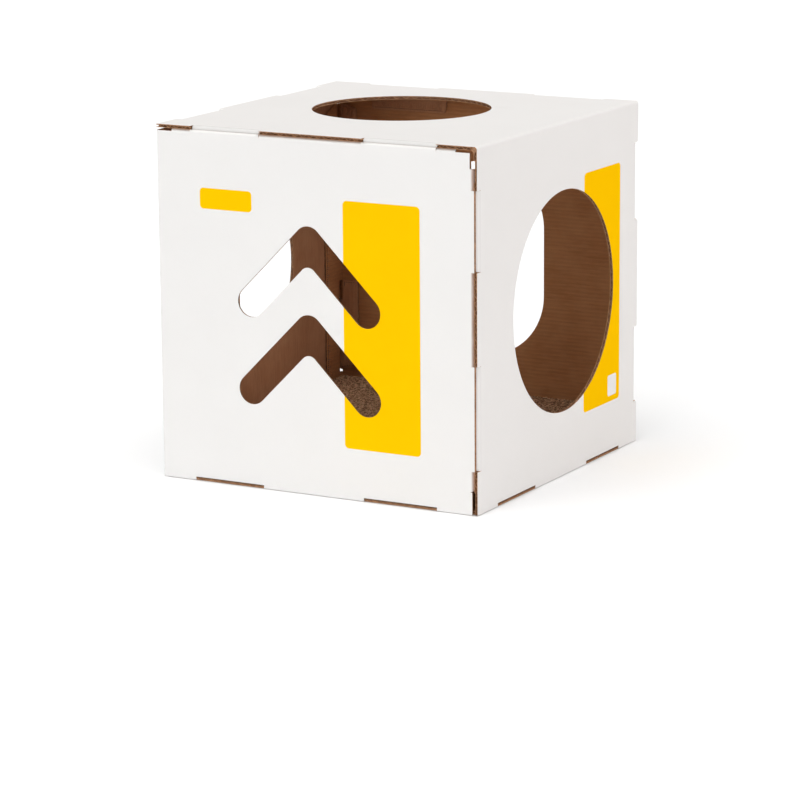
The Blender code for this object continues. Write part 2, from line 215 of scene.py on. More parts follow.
# ------------------------------------------------------------------ mesh parts
class Board:
    """Collects points and faces, in millimetres, for one mesh object."""

    def __init__(self, name):
        self.name, self.verts, self.faces, self.mats, self.count = name, [], [], [], 0

    def add(self, points, faces, mat):
        points = np.asarray(points, float)
        base = self.count
        self.verts.append(points)
        self.count += len(points)
        for f in faces:
            self.faces.append(tuple(int(i) + base for i in f))
        self.mats += [mat] * len(faces) if isinstance(mat, int) else list(mat)

    def make(self, materials, angle=32.0):
        co = np.concatenate(self.verts) / 1000.0
        me = bpy.data.meshes.new(self.name)
        me.from_pydata(co.tolist(), [], self.faces)
        me.polygons.foreach_set("material_index", self.mats)
        for m in list(materials) + ([hollow_shade] if HOLLOW_SHADE in self.mats else []):
            me.materials.append(m)
        me.update()
        me.shade_smooth()
        me.set_sharp_from_angle(angle=math.radians(angle))
        ob = bpy.data.objects.new(self.name, me)
        bpy.context.scene.collection.objects.link(ob)
        return ob


def handed(place):
    """+1 if u x v points along the depth at a sample point of the mapping."""
    o, a, b, c = (place(np.array([u]), np.array([v]), np.array([d]))[0]
                  for u, v, d in ((50, 50, 1), (51, 50, 1), (50, 51, 1), (50, 50, 2)))
    return 1 if np.dot(np.cross(a - o, b - o), c - o) > 0 else -1


def fill(loops, ulines=(), vlines=(), extra=()):
    verts, edges = [], []
    for loop in loops:
        base, n = len(verts), len(loop)
        verts += loop
        edges += [(base + i, base + (i + 1) % n) for i in range(n)]
    allp = np.array(loops[0])
    (u0, v0), (u1, v1) = allp.min(0), allp.max(0)
    for u in ulines:
        if u0 < u < u1:
            verts += [(u, v0 - 3), (u, v1 + 3)]
            edges.append((len(verts) - 2, len(verts) - 1))
    for v in vlines:
        if v0 < v < v1:
            verts += [(u0 - 3, v), (u1 + 3, v)]
            edges.append((len(verts) - 2, len(verts) - 1))
    verts += list(extra)
    co, _, tris, _, _, _ = delaunay_2d_cdt([Vector(p) for p in verts], edges, [], 0, 1e-4)
    co = np.array([tuple(c) for c in co], float)
    tris = np.array([t for t in tris if len(t) == 3], int)
    mid = co[tris].mean(axis=1)
    tris = tris[inside(loops, mid)]
    used = np.unique(tris)
    back = np.full(len(co), -1)
    back[used] = np.arange(len(used))
    co, tris = co[used], back[tris]
    # every triangle anticlockwise
    a, b, c = co[tris[:, 0]], co[tris[:, 1]], co[tris[:, 2]]
    area = (b[:, 0] - a[:, 0]) * (c[:, 1] - a[:, 1]) - (b[:, 1] - a[:, 1]) * (c[:, 0] - a[:, 0])
    tris[area < 0] = tris[area < 0][:, ::-1]
    tris = tris[np.abs(area) > 1e-9]
    pairs = {}
    for t in tris:
        for i in range(3):
            p, q = int(t[i]), int(t[(i + 1) % 3])
            pairs[(p, q)] = True
    border = [(p, q) for (p, q) in pairs if (q, p) not in pairs]
    return co, tris, border


def inset_points(segments, loops, offsets, step=4.0):
    """Points at fixed distances inside the cut edges, for the rolled edge."""
    out = []
    for x0, y0, x1, y1 in segments:
        length = math.hypot(x1 - x0, y1 - y0)
        n = max(1, int(round(length / step)))
        nx, ny = -(y1 - y0) / length, (x1 - x0) / length
        for i in range(n):
            t = (i + 0.5) / n
            px, py = x0 + (x1 - x0) * t, y0 + (y1 - y0) * t
            for o in offsets:
                out += [(px + nx * o, py + ny * o, o), (px - nx * o, py - ny * o, o)]
    if not out:
        return []
    arr = np.array(out)
    keep = inside(loops, arr[:, :2])
    arr = arr[keep]
    keep = distance(segments, arr[:, :2]) > arr[:, 2] * 0.93
    return [tuple(p) for p in arr[keep, :2]]


def grid_points(segments, loops, reach, step):
    """A small grid of points round each of some short segments."""
    out = []
    for x0, y0, x1, y1 in segments:
        xs = np.arange(min(x0, x1) - reach, max(x0, x1) + reach, step) + 0.017
        ys = np.arange(min(y0, y1) - reach, max(y0, y1) + reach, step) + 0.023
        gx, gy = np.meshgrid(xs, ys)
        pts = np.stack([gx.ravel(), gy.ravel()], 1)
        near = distance([(x0, y0, x1, y1)], pts) < reach
        edge = distance(np.array([seg for loop in loops for seg in loop_segments(loop)]), pts[near])
        pts = pts[near][edge > 0.12]
        out += [tuple(q) for q in pts[inside(loops, pts)]]
    return out


def split_long(loop, step):
    out = []
    for (x0, y0), (x1, y1) in zip(loop, loop[1:] + loop[:1]):
        n = max(1, int(math.ceil(math.hypot(x1 - x0, y1 - y0) / step)))
        out += [(x0 + (x1 - x0) * i / n, y0 + (y1 - y0) * i / n) for i in range(n)]
    return out


def skin(board, loops, place, joins, near, far, roll, mats, ulines=(), vlines=(), ridge=None, step=5.0,
         roll_width=1.5, curl=None, pinch=()):
    """One liner as a thin closed sheet between depths near and far.

    roll > 0 presses the near face in at cut edges, roll < 0 the far face out.
    mats is (near face, far face, cut edge).  ridge adds a relief to the far face."""
    cuts = cut_segments(loops, joins)
    fine = [split_long(loop, step) for loop in loops]
    soft = {seg for spec in pinch for seg in spec[0]}
    extra = inset_points([c for c in cuts if c not in soft], loops, (0.45, 1.0, roll_width), step)
    for spec in pinch:
        far_out = max(spec[2], spec[4])
        extra += inset_points(spec[0], loops, [far_out * f for f in (0.06, 0.16, 0.3, 0.46, 0.66, 0.86, 1.1)], 2.4)
        if spec[1] > 0:
            extra += grid_points(spec[0], loops, spec[2] + 1.0, 0.55)
    co, tris, border = fill(fine, ulines, vlines, extra)
    dist = distance(cuts, co)
    press = np.clip(1 - dist / roll_width, 0, 1) ** 2 * abs(roll)
    top = np.full(len(co), float(near))
    bottom = np.full(len(co), float(far))
    if roll > 0:
        top += press
        bottom += press
    else:
        top -= press
        bottom -= press
    if ridge is not None:
        fade = np.clip(dist / 3.0, 0, 1)
        rise = ridge(co[:, 0], co[:, 1]) * fade
        bottom += rise
    if curl is not None:
        more = curl(co[:, 0], co[:, 1])
        top += more
        bottom += more
    n = len(co)
    pts = np.concatenate([place(co[:, 0], co[:, 1], top), place(co[:, 0], co[:, 1], bottom)])
    s = handed(place)
    faces, kinds = [], []
    for a, b, c in tris:
        faces.append((a, c, b) if s > 0 else (a, b, c))
        kinds.append(mats[0])
        faces.append((a + n, b + n, c + n) if s > 0 else (a + n, c + n, b + n))
        kinds.append(mats[1])
    for a, b in border:
        q = (a, b, b + n, a + n)
        faces.append(q if s > 0 else q[::-1])
        kinds.append(mats[2])
    board.add(pts, faces, kinds)
    return co, border, cuts


def spans(loops, s, axis):
    """Stretches of the line 'axis = s' inside the loops."""
    other = 1 - axis
    hits = []
    for loop in loops:
        a = np.array(loop)
        b = np.roll(a, -1, axis=0)
        c = ((a[:, axis] > s) != (b[:, axis] > s))
        for p, q in zip(a[c], b[c]):
            hits.append(p[other] + (q[other] - p[other]) * (s - p[axis]) / (q[axis] - p[axis]))
    hits.sort()
    return [(hits[i], hits[i + 1]) for i in range(0, len(hits) - 1, 2)]


def flutes(board, loops, place, axis, mat, seed, near=LINER, far=T - LINER, pitch=PITCH, steps=10,
           thick=0.34, recess=0.25, stretch=60.0, lean=0.0, breaks=(), ends=(), lo=None, hi=None):
    """The fluted medium.  The wave runs along `axis`, the flutes across it."""
    allp = np.array(loops[0])
    lo = allp[:, axis].min() + 0.02 if lo is None else lo
    hi = allp[:, axis].max() - 0.02 if hi is None else hi
    n = max(2, int(round((hi - lo) / pitch * steps)))
    ss = np.linspace(lo, hi, n + 1)
    phase = 2 * math.pi * (ss / pitch) + smooth_noise(seed, ss, 31.0, 0.5) + seed
    if lean:
        phase = phase + lean * np.sin(phase)
    mid, amp = (near + far) / 2, (far - near) / 2 - thick * 0.45
    amp = amp * (1 - 0.06 * (1 + smooth_noise(seed + 9, ss, 17.0, 1.0)))
    dd = mid + amp * np.sin(phase)
    slope = np.gradient(dd, ss)
    half = np.minimum(thick / 2 * np.sqrt(1 + slope ** 2), 0.9)
    sgn = handed(place) * (1 if axis == 0 else -1)
    mids = [spans(loops, (ss[i] + ss[i + 1]) / 2, axis) for i in range(n)]
    at = [spans(loops, min(max(x, lo + 1e-3), hi - 1e-3), axis) for x in ss]

    def alike(p, q):
        return len(p) == len(q) and all(abs(a - c) + abs(b - d) < 6.0 for (a, b), (c, d) in zip(p, q))

    runs, i = [], 0
    while i < n:
        j = i
        while j + 1 < n and alike(mids[j], mids[j + 1]):
            j += 1
        for k in range(len(mids[i])):
            rows = []
            for m in range(i, j + 2):
                cell = mids[min(max(m, i), j)]
                pick = at[m][k] if alike(at[m], cell) else cell[k]
                rows.append((m, pick[0] + recess, pick[1] - recess))
            runs.append(rows)
        i = j + 1
    for rows in runs:
        longest = max(b - a for _, a, b in rows)
        if longest < 0.6:
            continue
        first, last = max(r[1] for r in rows), min(r[2] for r in rows)
        knots = [x for x in sorted(breaks) if first + 0.3 < x < last - 0.3]
        mean = [np.mean([r[1] for r in rows])] + knots + [np.mean([r[2] for r in rows])]
        cells = [max(1, int(math.ceil((q - p) / stretch))) for p, q in zip(mean, mean[1:])]

        def along(a, b):
            if b - a < 0.05:
                a, b = (a + b) / 2 - 0.025, (a + b) / 2 + 0.025
            stops, out = [a] + knots + [b], [a]
            for i, (p, q) in enumerate(zip(stops, stops[1:])):
                scale = min(1.0, (q - p) / (2.5 * ends[-1])) if ends else 1.0
                head = [p + e * scale for e in ends] if i == 0 else []
                tail = [q - e * scale for e in reversed(ends)] if i == len(stops) - 2 else []
                start, stop = (head[-1] if head else p), (tail[0] if tail else q)
                out += head + [start + (stop - start) * f / cells[i] for f in range(1, cells[i])] + tail + [q]
            return out

        pts_s, pts_t, pts_d = [], [], []
        for m, a, b in rows:
            ts = along(a, b)
            c = len(ts)
            for side in (-1, 1):
                for t in ts:
                    pts_s.append(ss[m])
                    pts_t.append(t)
                    pts_d.append(dd[m] + side * half[m])
        pts_s, pts_t, pts_d = map(np.array, (pts_s, pts_t, pts_d))
        pts = place(pts_s, pts_t, pts_d) if axis == 0 else place(pts_t, pts_s, pts_d)
        faces = []
        R = len(rows)

        def ix(r, side, k):
            return (r * 2 + side) * c + k

        for r in range(R - 1):
            for k in range(c - 1):
                q = (ix(r, 0, k), ix(r + 1, 0, k), ix(r + 1, 0, k + 1), ix(r, 0, k + 1))
                faces.append(q[::-1])
                q = (ix(r, 1, k), ix(r + 1, 1, k), ix(r + 1, 1, k + 1), ix(r, 1, k + 1))
                faces.append(q)
            faces.append((ix(r, 0, 0), ix(r + 1, 0, 0), ix(r + 1, 1, 0), ix(r, 1, 0)))
            faces.append((ix(r, 1, c - 1), ix(r + 1, 1, c - 1), ix(r + 1, 0, c - 1), ix(r, 0, c - 1)))
        for k in range(c - 1):
            faces.append((ix(0, 0, k), ix(0, 1, k), ix(0, 1, k + 1), ix(0, 0, k + 1)))
            faces.append((ix(R - 1, 0, k + 1), ix(R - 1, 1, k + 1), ix(R - 1, 1, k), ix(R - 1, 0, k)))
        if sgn < 0:
            faces = [f[::-1] for f in faces]
        board.add(pts, faces, mat)


def crushed(board, loops, place, joins, mat, seed, near=LINER, far=T - LINER, depth=(0.7, 1.7), step=2.2, skip=0):
    """The medium crushed shut a little behind a cut edge, as a thin wall, with painted light and shade: its outer half
    keeps the lighter cut colour and the rest takes the dark hollow colour.
    """
    s = handed(place)
    r = np.random.default_rng(seed)
    for loop in loops[skip:]:
        runs, run = [], []
        pts = list(loop)
        n = len(pts)
        area = sum(pts[i][0] * pts[(i + 1) % n][1] - pts[(i + 1) % n][0] * pts[i][1] for i in range(n))
        hole = loop is not loops[0]
        turn = (1 if area > 0 else -1) * (-1 if hole else 1)      # material on the left if +1
        flags = [not any(joined(pts[i], pts[(i + 1) % n], j) for j in joins) for i in range(n)]
        start = next((i for i in range(n) if not flags[i - 1]), None)
        order = [(i + (start or 0)) % n for i in range(n)]
        closed = start is None
        for i in order:
            if flags[i]:
                run.append(i)
            elif run:
                runs.append(run)
                run = []
        if run:
            runs.append(run)
        for run in runs:
            line = []
            for i in run:
                (x0, y0), (x1, y1) = pts[i], pts[(i + 1) % n]
                m = max(1, int(math.ceil(math.hypot(x1 - x0, y1 - y0) / step)))
                line += [(x0 + (x1 - x0) * k / m, y0 + (y1 - y0) * k / m) for k in range(m)]
            if not closed:
                line.append(pts[(run[-1] + 1) % n])
            a = np.array(line)
            m = len(a)
            if closed:
                tan = np.roll(a, -1, 0) - np.roll(a, 1, 0)
                d1, d0 = np.roll(a, -1, 0) - a, a - np.roll(a, 1, 0)
            else:
                d1 = np.vstack([a[1:] - a[:-1], a[-1:] - a[-2:-1]])
                d0 = np.vstack([a[1:2] - a[:1], a[1:] - a[:-1]])
            n1 = np.stack([-d1[:, 1], d1[:, 0]], 1) * turn
            n0 = np.stack([-d0[:, 1], d0[:, 0]], 1) * turn
            n1 /= np.linalg.norm(n1, axis=1)[:, None] + 1e-12
            n0 /= np.linalg.norm(n0, axis=1)[:, None] + 1e-12
            nn = n0 + n1
            nn /= np.maximum(np.linalg.norm(nn, axis=1), 0.3)[:, None]
            mitre = 1 / np.clip((nn * n1).sum(1), 0.5, 1)
            deep = r.uniform(depth[0], depth[1], m)
            deep = (deep + np.roll(deep, 1) + np.roll(deep, -1)) / 3
            p0 = a + nn * (deep * mitre)[:, None]
            p1 = a + nn * ((deep + 0.5) * mitre)[:, None]
            half = near + (far - near) * np.clip(0.42 + smooth_noise(seed + 7, np.arange(m) * step, 9.0, 0.10), 0.2, 0.7)
            P = np.concatenate([place(p0[:, 0], p0[:, 1], np.full(m, near)), place(p0[:, 0], p0[:, 1], half),
                                place(p0[:, 0], p0[:, 1], np.full(m, far)), place(p1[:, 0], p1[:, 1], np.full(m, near)),
                                place(p1[:, 0], p1[:, 1], np.full(m, far))])
            faces, kinds = [], []
            last = m if closed else m - 1
            for k in range(last):
                q = (k + 1) % m
                faces.append((k, q, q + m, k + m))
                faces.append((k + m, q + m, q + 2 * m, k + 2 * m))
                faces.append((k + 3 * m, k + 4 * m, q + 4 * m, q + 3 * m))
                faces.append((k, k + 3 * m, q + 3 * m, q))
                faces.append((k + 2 * m, q + 2 * m, q + 4 * m, k + 4 * m))
                # painted light and shade: outer half of the face in cut colour, inner half, back and sides in the dark
                # hollow colour
                kinds += [EDGE, mat, mat, mat, mat]
            if not closed:
                faces.append((0, m, 2 * m, 4 * m, 3 * m))
                faces.append((m - 1, 4 * m - 1, 5 * m - 1, 3 * m - 1, 2 * m - 1))
                kinds += [mat, mat]
            if s * turn < 0:
                faces = [f[::-1] for f in faces]
            board.add(P, faces, kinds)


# -------------------------------------------------------------------- materials
def nodes_of(name):
    m = bpy.data.materials.new(name)
    m.use_nodes = True
    nt = m.node_tree
    return m, nt, nt.nodes["Principled BSDF"]


def new(nt, kind, **values):
    n = nt.nodes.new(kind)
    for k, v in values.items():
        if k == "inputs":
            for name, value in v.items():
                n.inputs[name].default_value = value
        else:
            setattr(n, k, v)
    return n


def math_node(nt, op, a, b=None, clamp=False):
    n = new(nt, "ShaderNodeMath", operation=op, use_clamp=clamp)
    for i, x in enumerate((a, b)):
        if x is None:
            continue
        if isinstance(x, (int, float)):
            n.inputs[i].default_value = x
        else:
            nt.links.new(x, n.inputs[i])
    return n.outputs[0]


def mix_colour(nt, fac, a, b, blend="MIX"):
    n = new(nt, "ShaderNodeMix", data_type="RGBA", blend_type=blend)
    for socket, x in ((n.inputs[0], fac), (n.inputs[6], a), (n.inputs[7], b)):
        if isinstance(x, (int, float)):
            socket.default_value = x
        elif isinstance(x, tuple):
            socket.default_value = x
        else:
            nt.links.new(x, socket)
    return n.outputs[2]


def noise(nt, scale, stretch=(1, 1, 1), detail=3.0, rough=0.55, coords=None, distort=0.0):
    """A noise value in object space; scale is in cells per metre."""
    tc = coords or new(nt, "ShaderNodeTexCoord").outputs["Object"]
    mp = new(nt, "ShaderNodeMapping")
    mp.inputs["Scale"].default_value = tuple(scale * s for s in stretch)
    nt.links.new(tc, mp.inputs["Vector"])
    n = new(nt, "ShaderNodeTexNoise", inputs={"Scale": 1.0, "Detail": detail, "Roughness": rough, "Distortion": distort})
    nt.links.new(mp.outputs["Vector"], n.inputs["Vector"])
    return n.outputs["Fac"]


def ramp(nt, fac, low, high, out_low=0.0, out_high=1.0):
    n = new(nt, "ShaderNodeMapRange", inputs={"From Min": low, "From Max": high, "To Min": out_low, "To Max": out_high})
    nt.links.new(fac, n.inputs["Value"])
    return n.outputs["Result"]


def rounded_mask(nt, a, b, lo, hi, radius, soft=0.00018):
    """1 inside a rounded rectangle lo..hi of the coordinates a, b (sockets)."""
    parts = []
    for socket, l, h in ((a, lo[0], hi[0]), (b, lo[1], hi[1])):
        off = math_node(nt, "ABSOLUTE", math_node(nt, "SUBTRACT", socket, (l + h) / 2))
        parts.append(math_node(nt, "MAXIMUM", math_node(nt, "SUBTRACT", off, (h - l) / 2 - radius), 0.0))
    sq = math_node(nt, "ADD", math_node(nt, "MULTIPLY", parts[0], parts[0]), math_node(nt, "MULTIPLY", parts[1], parts[1]))
    dist = math_node(nt, "SQRT", sq)
    return ramp(nt, dist, radius - soft, radius + soft, 1.0, 0.0)


WHITE = (0.800, 0.787, 0.776, 1)
YELLOW = (0.960, 0.548, 0.001, 1)
KRAFT = (0.500, 0.255, 0.135, 1)
KRAFT_DARK = (0.420, 0.205, 0.105, 1)
KRAFT_LIGHT = (0.570, 0.310, 0.175, 1)
CUT = (0.52, 0.28, 0.150, 1)
CUT_LIGHT = (0.70, 0.44, 0.265, 1)
CUT_DARK = (0.28, 0.15, 0.085, 1)
# painted shade: the brown a white crease takes in the shade of a gap, with light bounced off the brown board
CREASE_SHADE_BROWN = (0.46, 0.33, 0.27, 1)


def white_board(name, prints=None, grain=(1, 1, 1), tone=1.0, shade_band=None):
    """Clay-coated white liner, with flat areas of yellow ink.

    prints: (first axis, second axis, [(lo, hi, radius, colour)]).
    The last argument, (axis, start, end), gives a band of painted shade: the white is darkened to brown there, for the
    shade and brown bounce light where a crease turns into a gap."""
    m, nt, bsdf = nodes_of(name)
    tc = new(nt, "ShaderNodeTexCoord").outputs["Object"]
    fibre = noise(nt, 700, grain, 4.0, 0.6, tc, 0.4)
    cloud = noise(nt, 14, (1, 1, 1), 3.0, 0.5, tc)
    fine = noise(nt, 2600, (1, 1, 1), 2.0, 0.6, tc)
    base = mix_colour(nt, ramp(nt, cloud, 0.35, 0.65), tuple(c * 0.988 * tone for c in WHITE[:3]) + (1,),
                      tuple(c * tone for c in WHITE[:3]) + (1,))
    base = mix_colour(nt, ramp(nt, fibre, 0.58, 0.78, 0.0, 0.5), base, tuple(c * 0.955 for c in WHITE[:3]) + (1,))
    ink = None
    if prints:
        sep = new(nt, "ShaderNodeSeparateXYZ")
        nt.links.new(tc, sep.inputs[0])
        a, b = sep.outputs[prints[0]], sep.outputs[prints[1]]
        for lo, hi, radius, colour in prints[2]:
            mask = rounded_mask(nt, a, b, lo, hi, radius)
            if colour == "ink":
                tone = mix_colour(nt, ramp(nt, cloud, 0.35, 0.65), (0.955, 0.535, 0.001, 1), YELLOW)
                tone = mix_colour(nt, ramp(nt, fine, 0.62, 0.85, 0.0, 0.06), tone, (0.98, 0.62, 0.02, 1))
                base = mix_colour(nt, mask, base, tone)
                ink = mask if ink is None else math_node(nt, "MAXIMUM", ink, mask)
            else:
                base = mix_colour(nt, mask, base, WHITE)
                ink = math_node(nt, "SUBTRACT", ink, mask, True)
    # painted shade: a ragged band along one axis darkened to brown, for the shade and brown bounce light where the
    # crease turns into the gap
    if shade_band:
        sep = new(nt, "ShaderNodeSeparateXYZ")
        nt.links.new(tc, sep.inputs[0])
        along = ramp(nt, sep.outputs[shade_band[0]], shade_band[1], shade_band[2])
        patch = noise(nt, 260, (1, 1, 0.35), 3.0, 0.6, tc)
        base = mix_colour(nt, math_node(nt, "MULTIPLY", along, ramp(nt, patch, 0.25, 0.60, 0.72, 1.0)), base, CREASE_SHADE_BROWN)
    nt.links.new(base, bsdf.inputs["Base Color"])
    rough = ramp(nt, fine, 0.3, 0.7, 0.50, 0.60)
    if ink is not None:
        rough = math_node(nt, "SUBTRACT", rough, math_node(nt, "MULTIPLY", ink, 0.08))
    nt.links.new(rough, bsdf.inputs["Roughness"])
    if ink is None:
        bsdf.inputs["Specular IOR Level"].default_value = 0.22
    else:
        nt.links.new(ramp(nt, ink, 0.0, 1.0, 0.22, 0.0), bsdf.inputs["Specular IOR Level"])
    bump = new(nt, "ShaderNodeBump", inputs={"Strength": 0.35, "Distance": 0.00004})
    nt.links.new(math_node(nt, "ADD", fibre, math_node(nt, "MULTIPLY", fine, 0.5)), bump.inputs["Height"])
    nt.links.new(bump.outputs["Normal"], bsdf.inputs["Normal"])
    return m


def kraft_board(name, grain, tint=(1.0, 1.0, 1.0), ribs=0.0):
    """Brown liner: long fibres, light and dark flecks, and, where ribs is set, faint dark level lines of painted shade
    from the ridges over the flutes.
    """
    m, nt, bsdf = nodes_of(name)
    tc = new(nt, "ShaderNodeTexCoord").outputs["Object"]
    long_fibre = noise(nt, 420, grain, 5.0, 0.65, tc, 0.8)
    cloud = noise(nt, 22, (1, 1, 1), 4.0, 0.55, tc)
    fleck = noise(nt, 1500, (1, 1, 1), 2.0, 0.5, tc)
    col = mix_colour(nt, ramp(nt, long_fibre, 0.36, 0.64), KRAFT_DARK, KRAFT)
    col = mix_colour(nt, ramp(nt, cloud, 0.40, 0.68, 0.0, 0.55), col, KRAFT_LIGHT)
    col = mix_colour(nt, ramp(nt, fleck, 0.66, 0.74, 0.0, 0.55), col, (0.42, 0.26, 0.16, 1))
    col = mix_colour(nt, ramp(nt, fleck, 0.34, 0.27, 0.0, 0.6), col, (0.12, 0.06, 0.035, 1))
    col = mix_colour(nt, 1.0, col, tuple(tint) + (1,), "MULTIPLY")
    if ribs:
        # painted shade: the ridges where the liner follows the flutes are drawn as faint dark level lines, two for each
        # flute
        sep = new(nt, "ShaderNodeSeparateXYZ")
        nt.links.new(tc, sep.inputs[0])
        stray = noise(nt, 45, (0.15, 1, 1), 2.0, 0.5, tc)
        phase = math_node(nt, "ADD", math_node(nt, "MULTIPLY", sep.outputs["Z"], 2 * math.pi / (RIDGE / 1000)), math_node(nt, "MULTIPLY", stray, 1.0))
        wave = math_node(nt, "SINE", phase)
        col = mix_colour(nt, ramp(nt, wave, -1.0, 1.0, 0.0, ribs), col, (0.0, 0.0, 0.0, 1))
    nt.links.new(col, bsdf.inputs["Base Color"])
    nt.links.new(ramp(nt, fleck, 0.3, 0.7, 0.80, 0.93), bsdf.inputs["Roughness"])
    bsdf.inputs["Specular IOR Level"].default_value = 0.06
    bump = new(nt, "ShaderNodeBump", inputs={"Strength": 0.6, "Distance": 0.00007})
    nt.links.new(math_node(nt, "ADD", long_fibre, math_node(nt, "MULTIPLY", fleck, 0.6)), bump.inputs["Height"])
    nt.links.new(bump.outputs["Normal"], bsdf.inputs["Normal"])
    return m


def cut_board(name, scale=520):
    """Torn and pressed fibres of a cut edge and of the medium."""
    m, nt, bsdf = nodes_of(name)
    tc = new(nt, "ShaderNodeTexCoord").outputs["Object"]
    coarse = noise(nt, 190, (1, 1, 1), 4.0, 0.6, tc, 0.6)
    fine = noise(nt, scale * 2.4, (1, 1, 1), 4.0, 0.7, tc)
    col = mix_colour(nt, ramp(nt, coarse, 0.34, 0.66), CUT_DARK, CUT)
    col = mix_colour(nt, ramp(nt, fine, 0.50, 0.72, 0.0, 0.85), col, CUT_LIGHT)
    nt.links.new(col, bsdf.inputs["Base Color"])
    bsdf.inputs["Roughness"].default_value = 0.9
    bsdf.inputs["Specular IOR Level"].default_value = 0.05
    bump = new(nt, "ShaderNodeBump", inputs={"Strength": 0.8, "Distance": 0.00012})
    nt.links.new(fine, bump.inputs["Height"])
    nt.links.new(bump.outputs["Normal"], bsdf.inputs["Normal"])
    return m


def hollow_shade_board():
    """Painted shade: the hollow between the liners, a little way in from a cut edge, given a dark kraft colour for the
    shade in there.
    """
    m, nt, bsdf = nodes_of("board_hollow_painted_shade")
    fine = noise(nt, 900, (1, 1, 1), 3.0, 0.6)
    nt.links.new(mix_colour(nt, ramp(nt, fine, 0.35, 0.7), (0.150, 0.074, 0.040, 1), (0.240, 0.128, 0.072, 1)), bsdf.inputs["Base Color"])
    bsdf.inputs["Roughness"].default_value = 0.95
    bsdf.inputs["Specular IOR Level"].default_value = 0.0
    return m


def pad_fibres():
    """Torn flute ends: pale fibres that stand up, drawn lighter as a painted highlight, and painted shade in the pits.
    """
    m, nt, bsdf = nodes_of("pad_fibres")
    tc = new(nt, "ShaderNodeTexCoord").outputs["Object"]
    cells = noise(nt, 330, (1, 0.62, 0.5), 3.0, 0.62, tc, 0.6)
    fine = noise(nt, 1500, (1, 1, 1), 3.0, 0.6, tc)
    broad = noise(nt, 30, (1, 1, 1), 2.0, 0.5, tc)
    # painted light and shade: noise cells run from dark pit shade to lit fibre tips, with pale flecks
    col = mix_colour(nt, ramp(nt, cells, 0.42, 0.58), (0.205, 0.105, 0.052, 1), (0.800, 0.520, 0.325, 1))
    col = mix_colour(nt, ramp(nt, fine, 0.52, 0.74, 0.0, 0.6), col, (0.860, 0.610, 0.410, 1))
    col = mix_colour(nt, ramp(nt, broad, 0.35, 0.65, 0.0, 0.25), col, (0.440, 0.260, 0.150, 1))
    # the two long sides are whole liners, calm and a little ribbed
    sep = new(nt, "ShaderNodeSeparateXYZ")
    nt.links.new(tc, sep.inputs[0])
    side = math_node(nt, "GREATER_THAN", math_node(nt, "ABSOLUTE", sep.outputs["X"]), PAD_HALF / 1000 - 0.0001)
    ribs = noise(nt, 150, (1, 1, 0.04), 1.0, 0.4, tc)
    plain = mix_colour(nt, ramp(nt, fine, 0.35, 0.65), (0.400, 0.232, 0.130, 1), (0.440, 0.262, 0.150, 1))
    plain = mix_colour(nt, ramp(nt, ribs, 0.42, 0.58, 0.0, 0.5), plain, (0.470, 0.285, 0.168, 1))
    col = mix_colour(nt, side, col, plain)
    nt.links.new(col, bsdf.inputs["Base Color"])
    bsdf.inputs["Roughness"].default_value = 0.92
    bsdf.inputs["Specular IOR Level"].default_value = 0.05
    bump = new(nt, "ShaderNodeBump", inputs={"Strength": 0.8, "Distance": 0.00015})
    nt.links.new(fine, bump.inputs["Height"])
    nt.links.new(bump.outputs["Normal"], bsdf.inputs["Normal"])
    return m


STRIPE_FRONT = ((0.0366, 0.0575), (0.1312, 0.3313), 0.005, "ink")
BADGE_FRONT = ((-0.1443, 0.3095), (-0.0780, 0.3327), 0.0045, "ink")
STRIPE_RIGHT = ((0.0590, 0.0610), (0.1525, 0.3355), 0.005, "ink")
TILE_RIGHT = ((0.1220, 0.0675), (0.1445, 0.0920), 0.003, "bare")

white_front = white_board("coated_front", ("X", "Z", [STRIPE_FRONT, BADGE_FRONT]), (1, 1, 0.25))
white_right = white_board("coated_right", ("Y", "Z", [STRIPE_RIGHT, TILE_RIGHT]), (1, 0.25, 1))
white_upright = white_board("coated_plain", None, (1, 1, 0.25))
white_along_x = white_board("coated_plain_x", None, (0.25, 1, 1))
white_along_y = white_board("coated_plain_y", None, (1, 0.25, 1))
kraft_z = kraft_board("kraft_z", (1, 1, 0.10))
kraft_x = kraft_board("kraft_x", (0.10, 1, 1), (1.044, 0.966, 0.793), 0.085)
kraft_y = kraft_board("kraft_y", (1, 0.10, 1))
cut = cut_board("cut_fibres")
hollow_shade = hollow_shade_board()
# painted shade: the white of the tab creases is toned down (0.85, 0.94) so their rolled edges show no brighter than the
# walls
shaded_crease_x = white_board("coated_crease_shaded_x", None, (0.25, 1, 1), 0.85)
shaded_crease_y = white_board("coated_crease_shaded_y", None, (1, 0.25, 1), 0.94)
shaded_crease_z = white_board("coated_crease_shaded_z", None, (1, 1, 0.25), 0.94)
# painted shade: the front right flange's crease darkens to brown towards the right wall, for the shade and brown bounce
# light in that gap
crease_shaded_brown = white_board("coated_crease_shaded_brown", None, (1, 1, 0.25), 1.0, ("X", 0.1922, 0.1941))

pad_board = pad_fibres()



# ------------------------------------------------------------------ the boards
def lines(lo, hi, step):
    n = max(1, int(round((hi - lo) / step)))
    return [lo + (hi - lo) * i / n for i in range(1, n)]


def ridged(axis, seed):
    """Faint ridges where the liner follows the medium, across `axis`."""
    def relief(u, v):
        s = u if axis == 0 else v
        t = v if axis == 0 else u
        swell = 0.085 + smooth_noise(seed, s + 0.13 * t, 40.0, 0.025)
        return -swell * (1 + np.cos(2 * math.pi * (s + smooth_noise(seed + 3, t, 90.0, 0.35)) / RIDGE)) / 2
    return relief


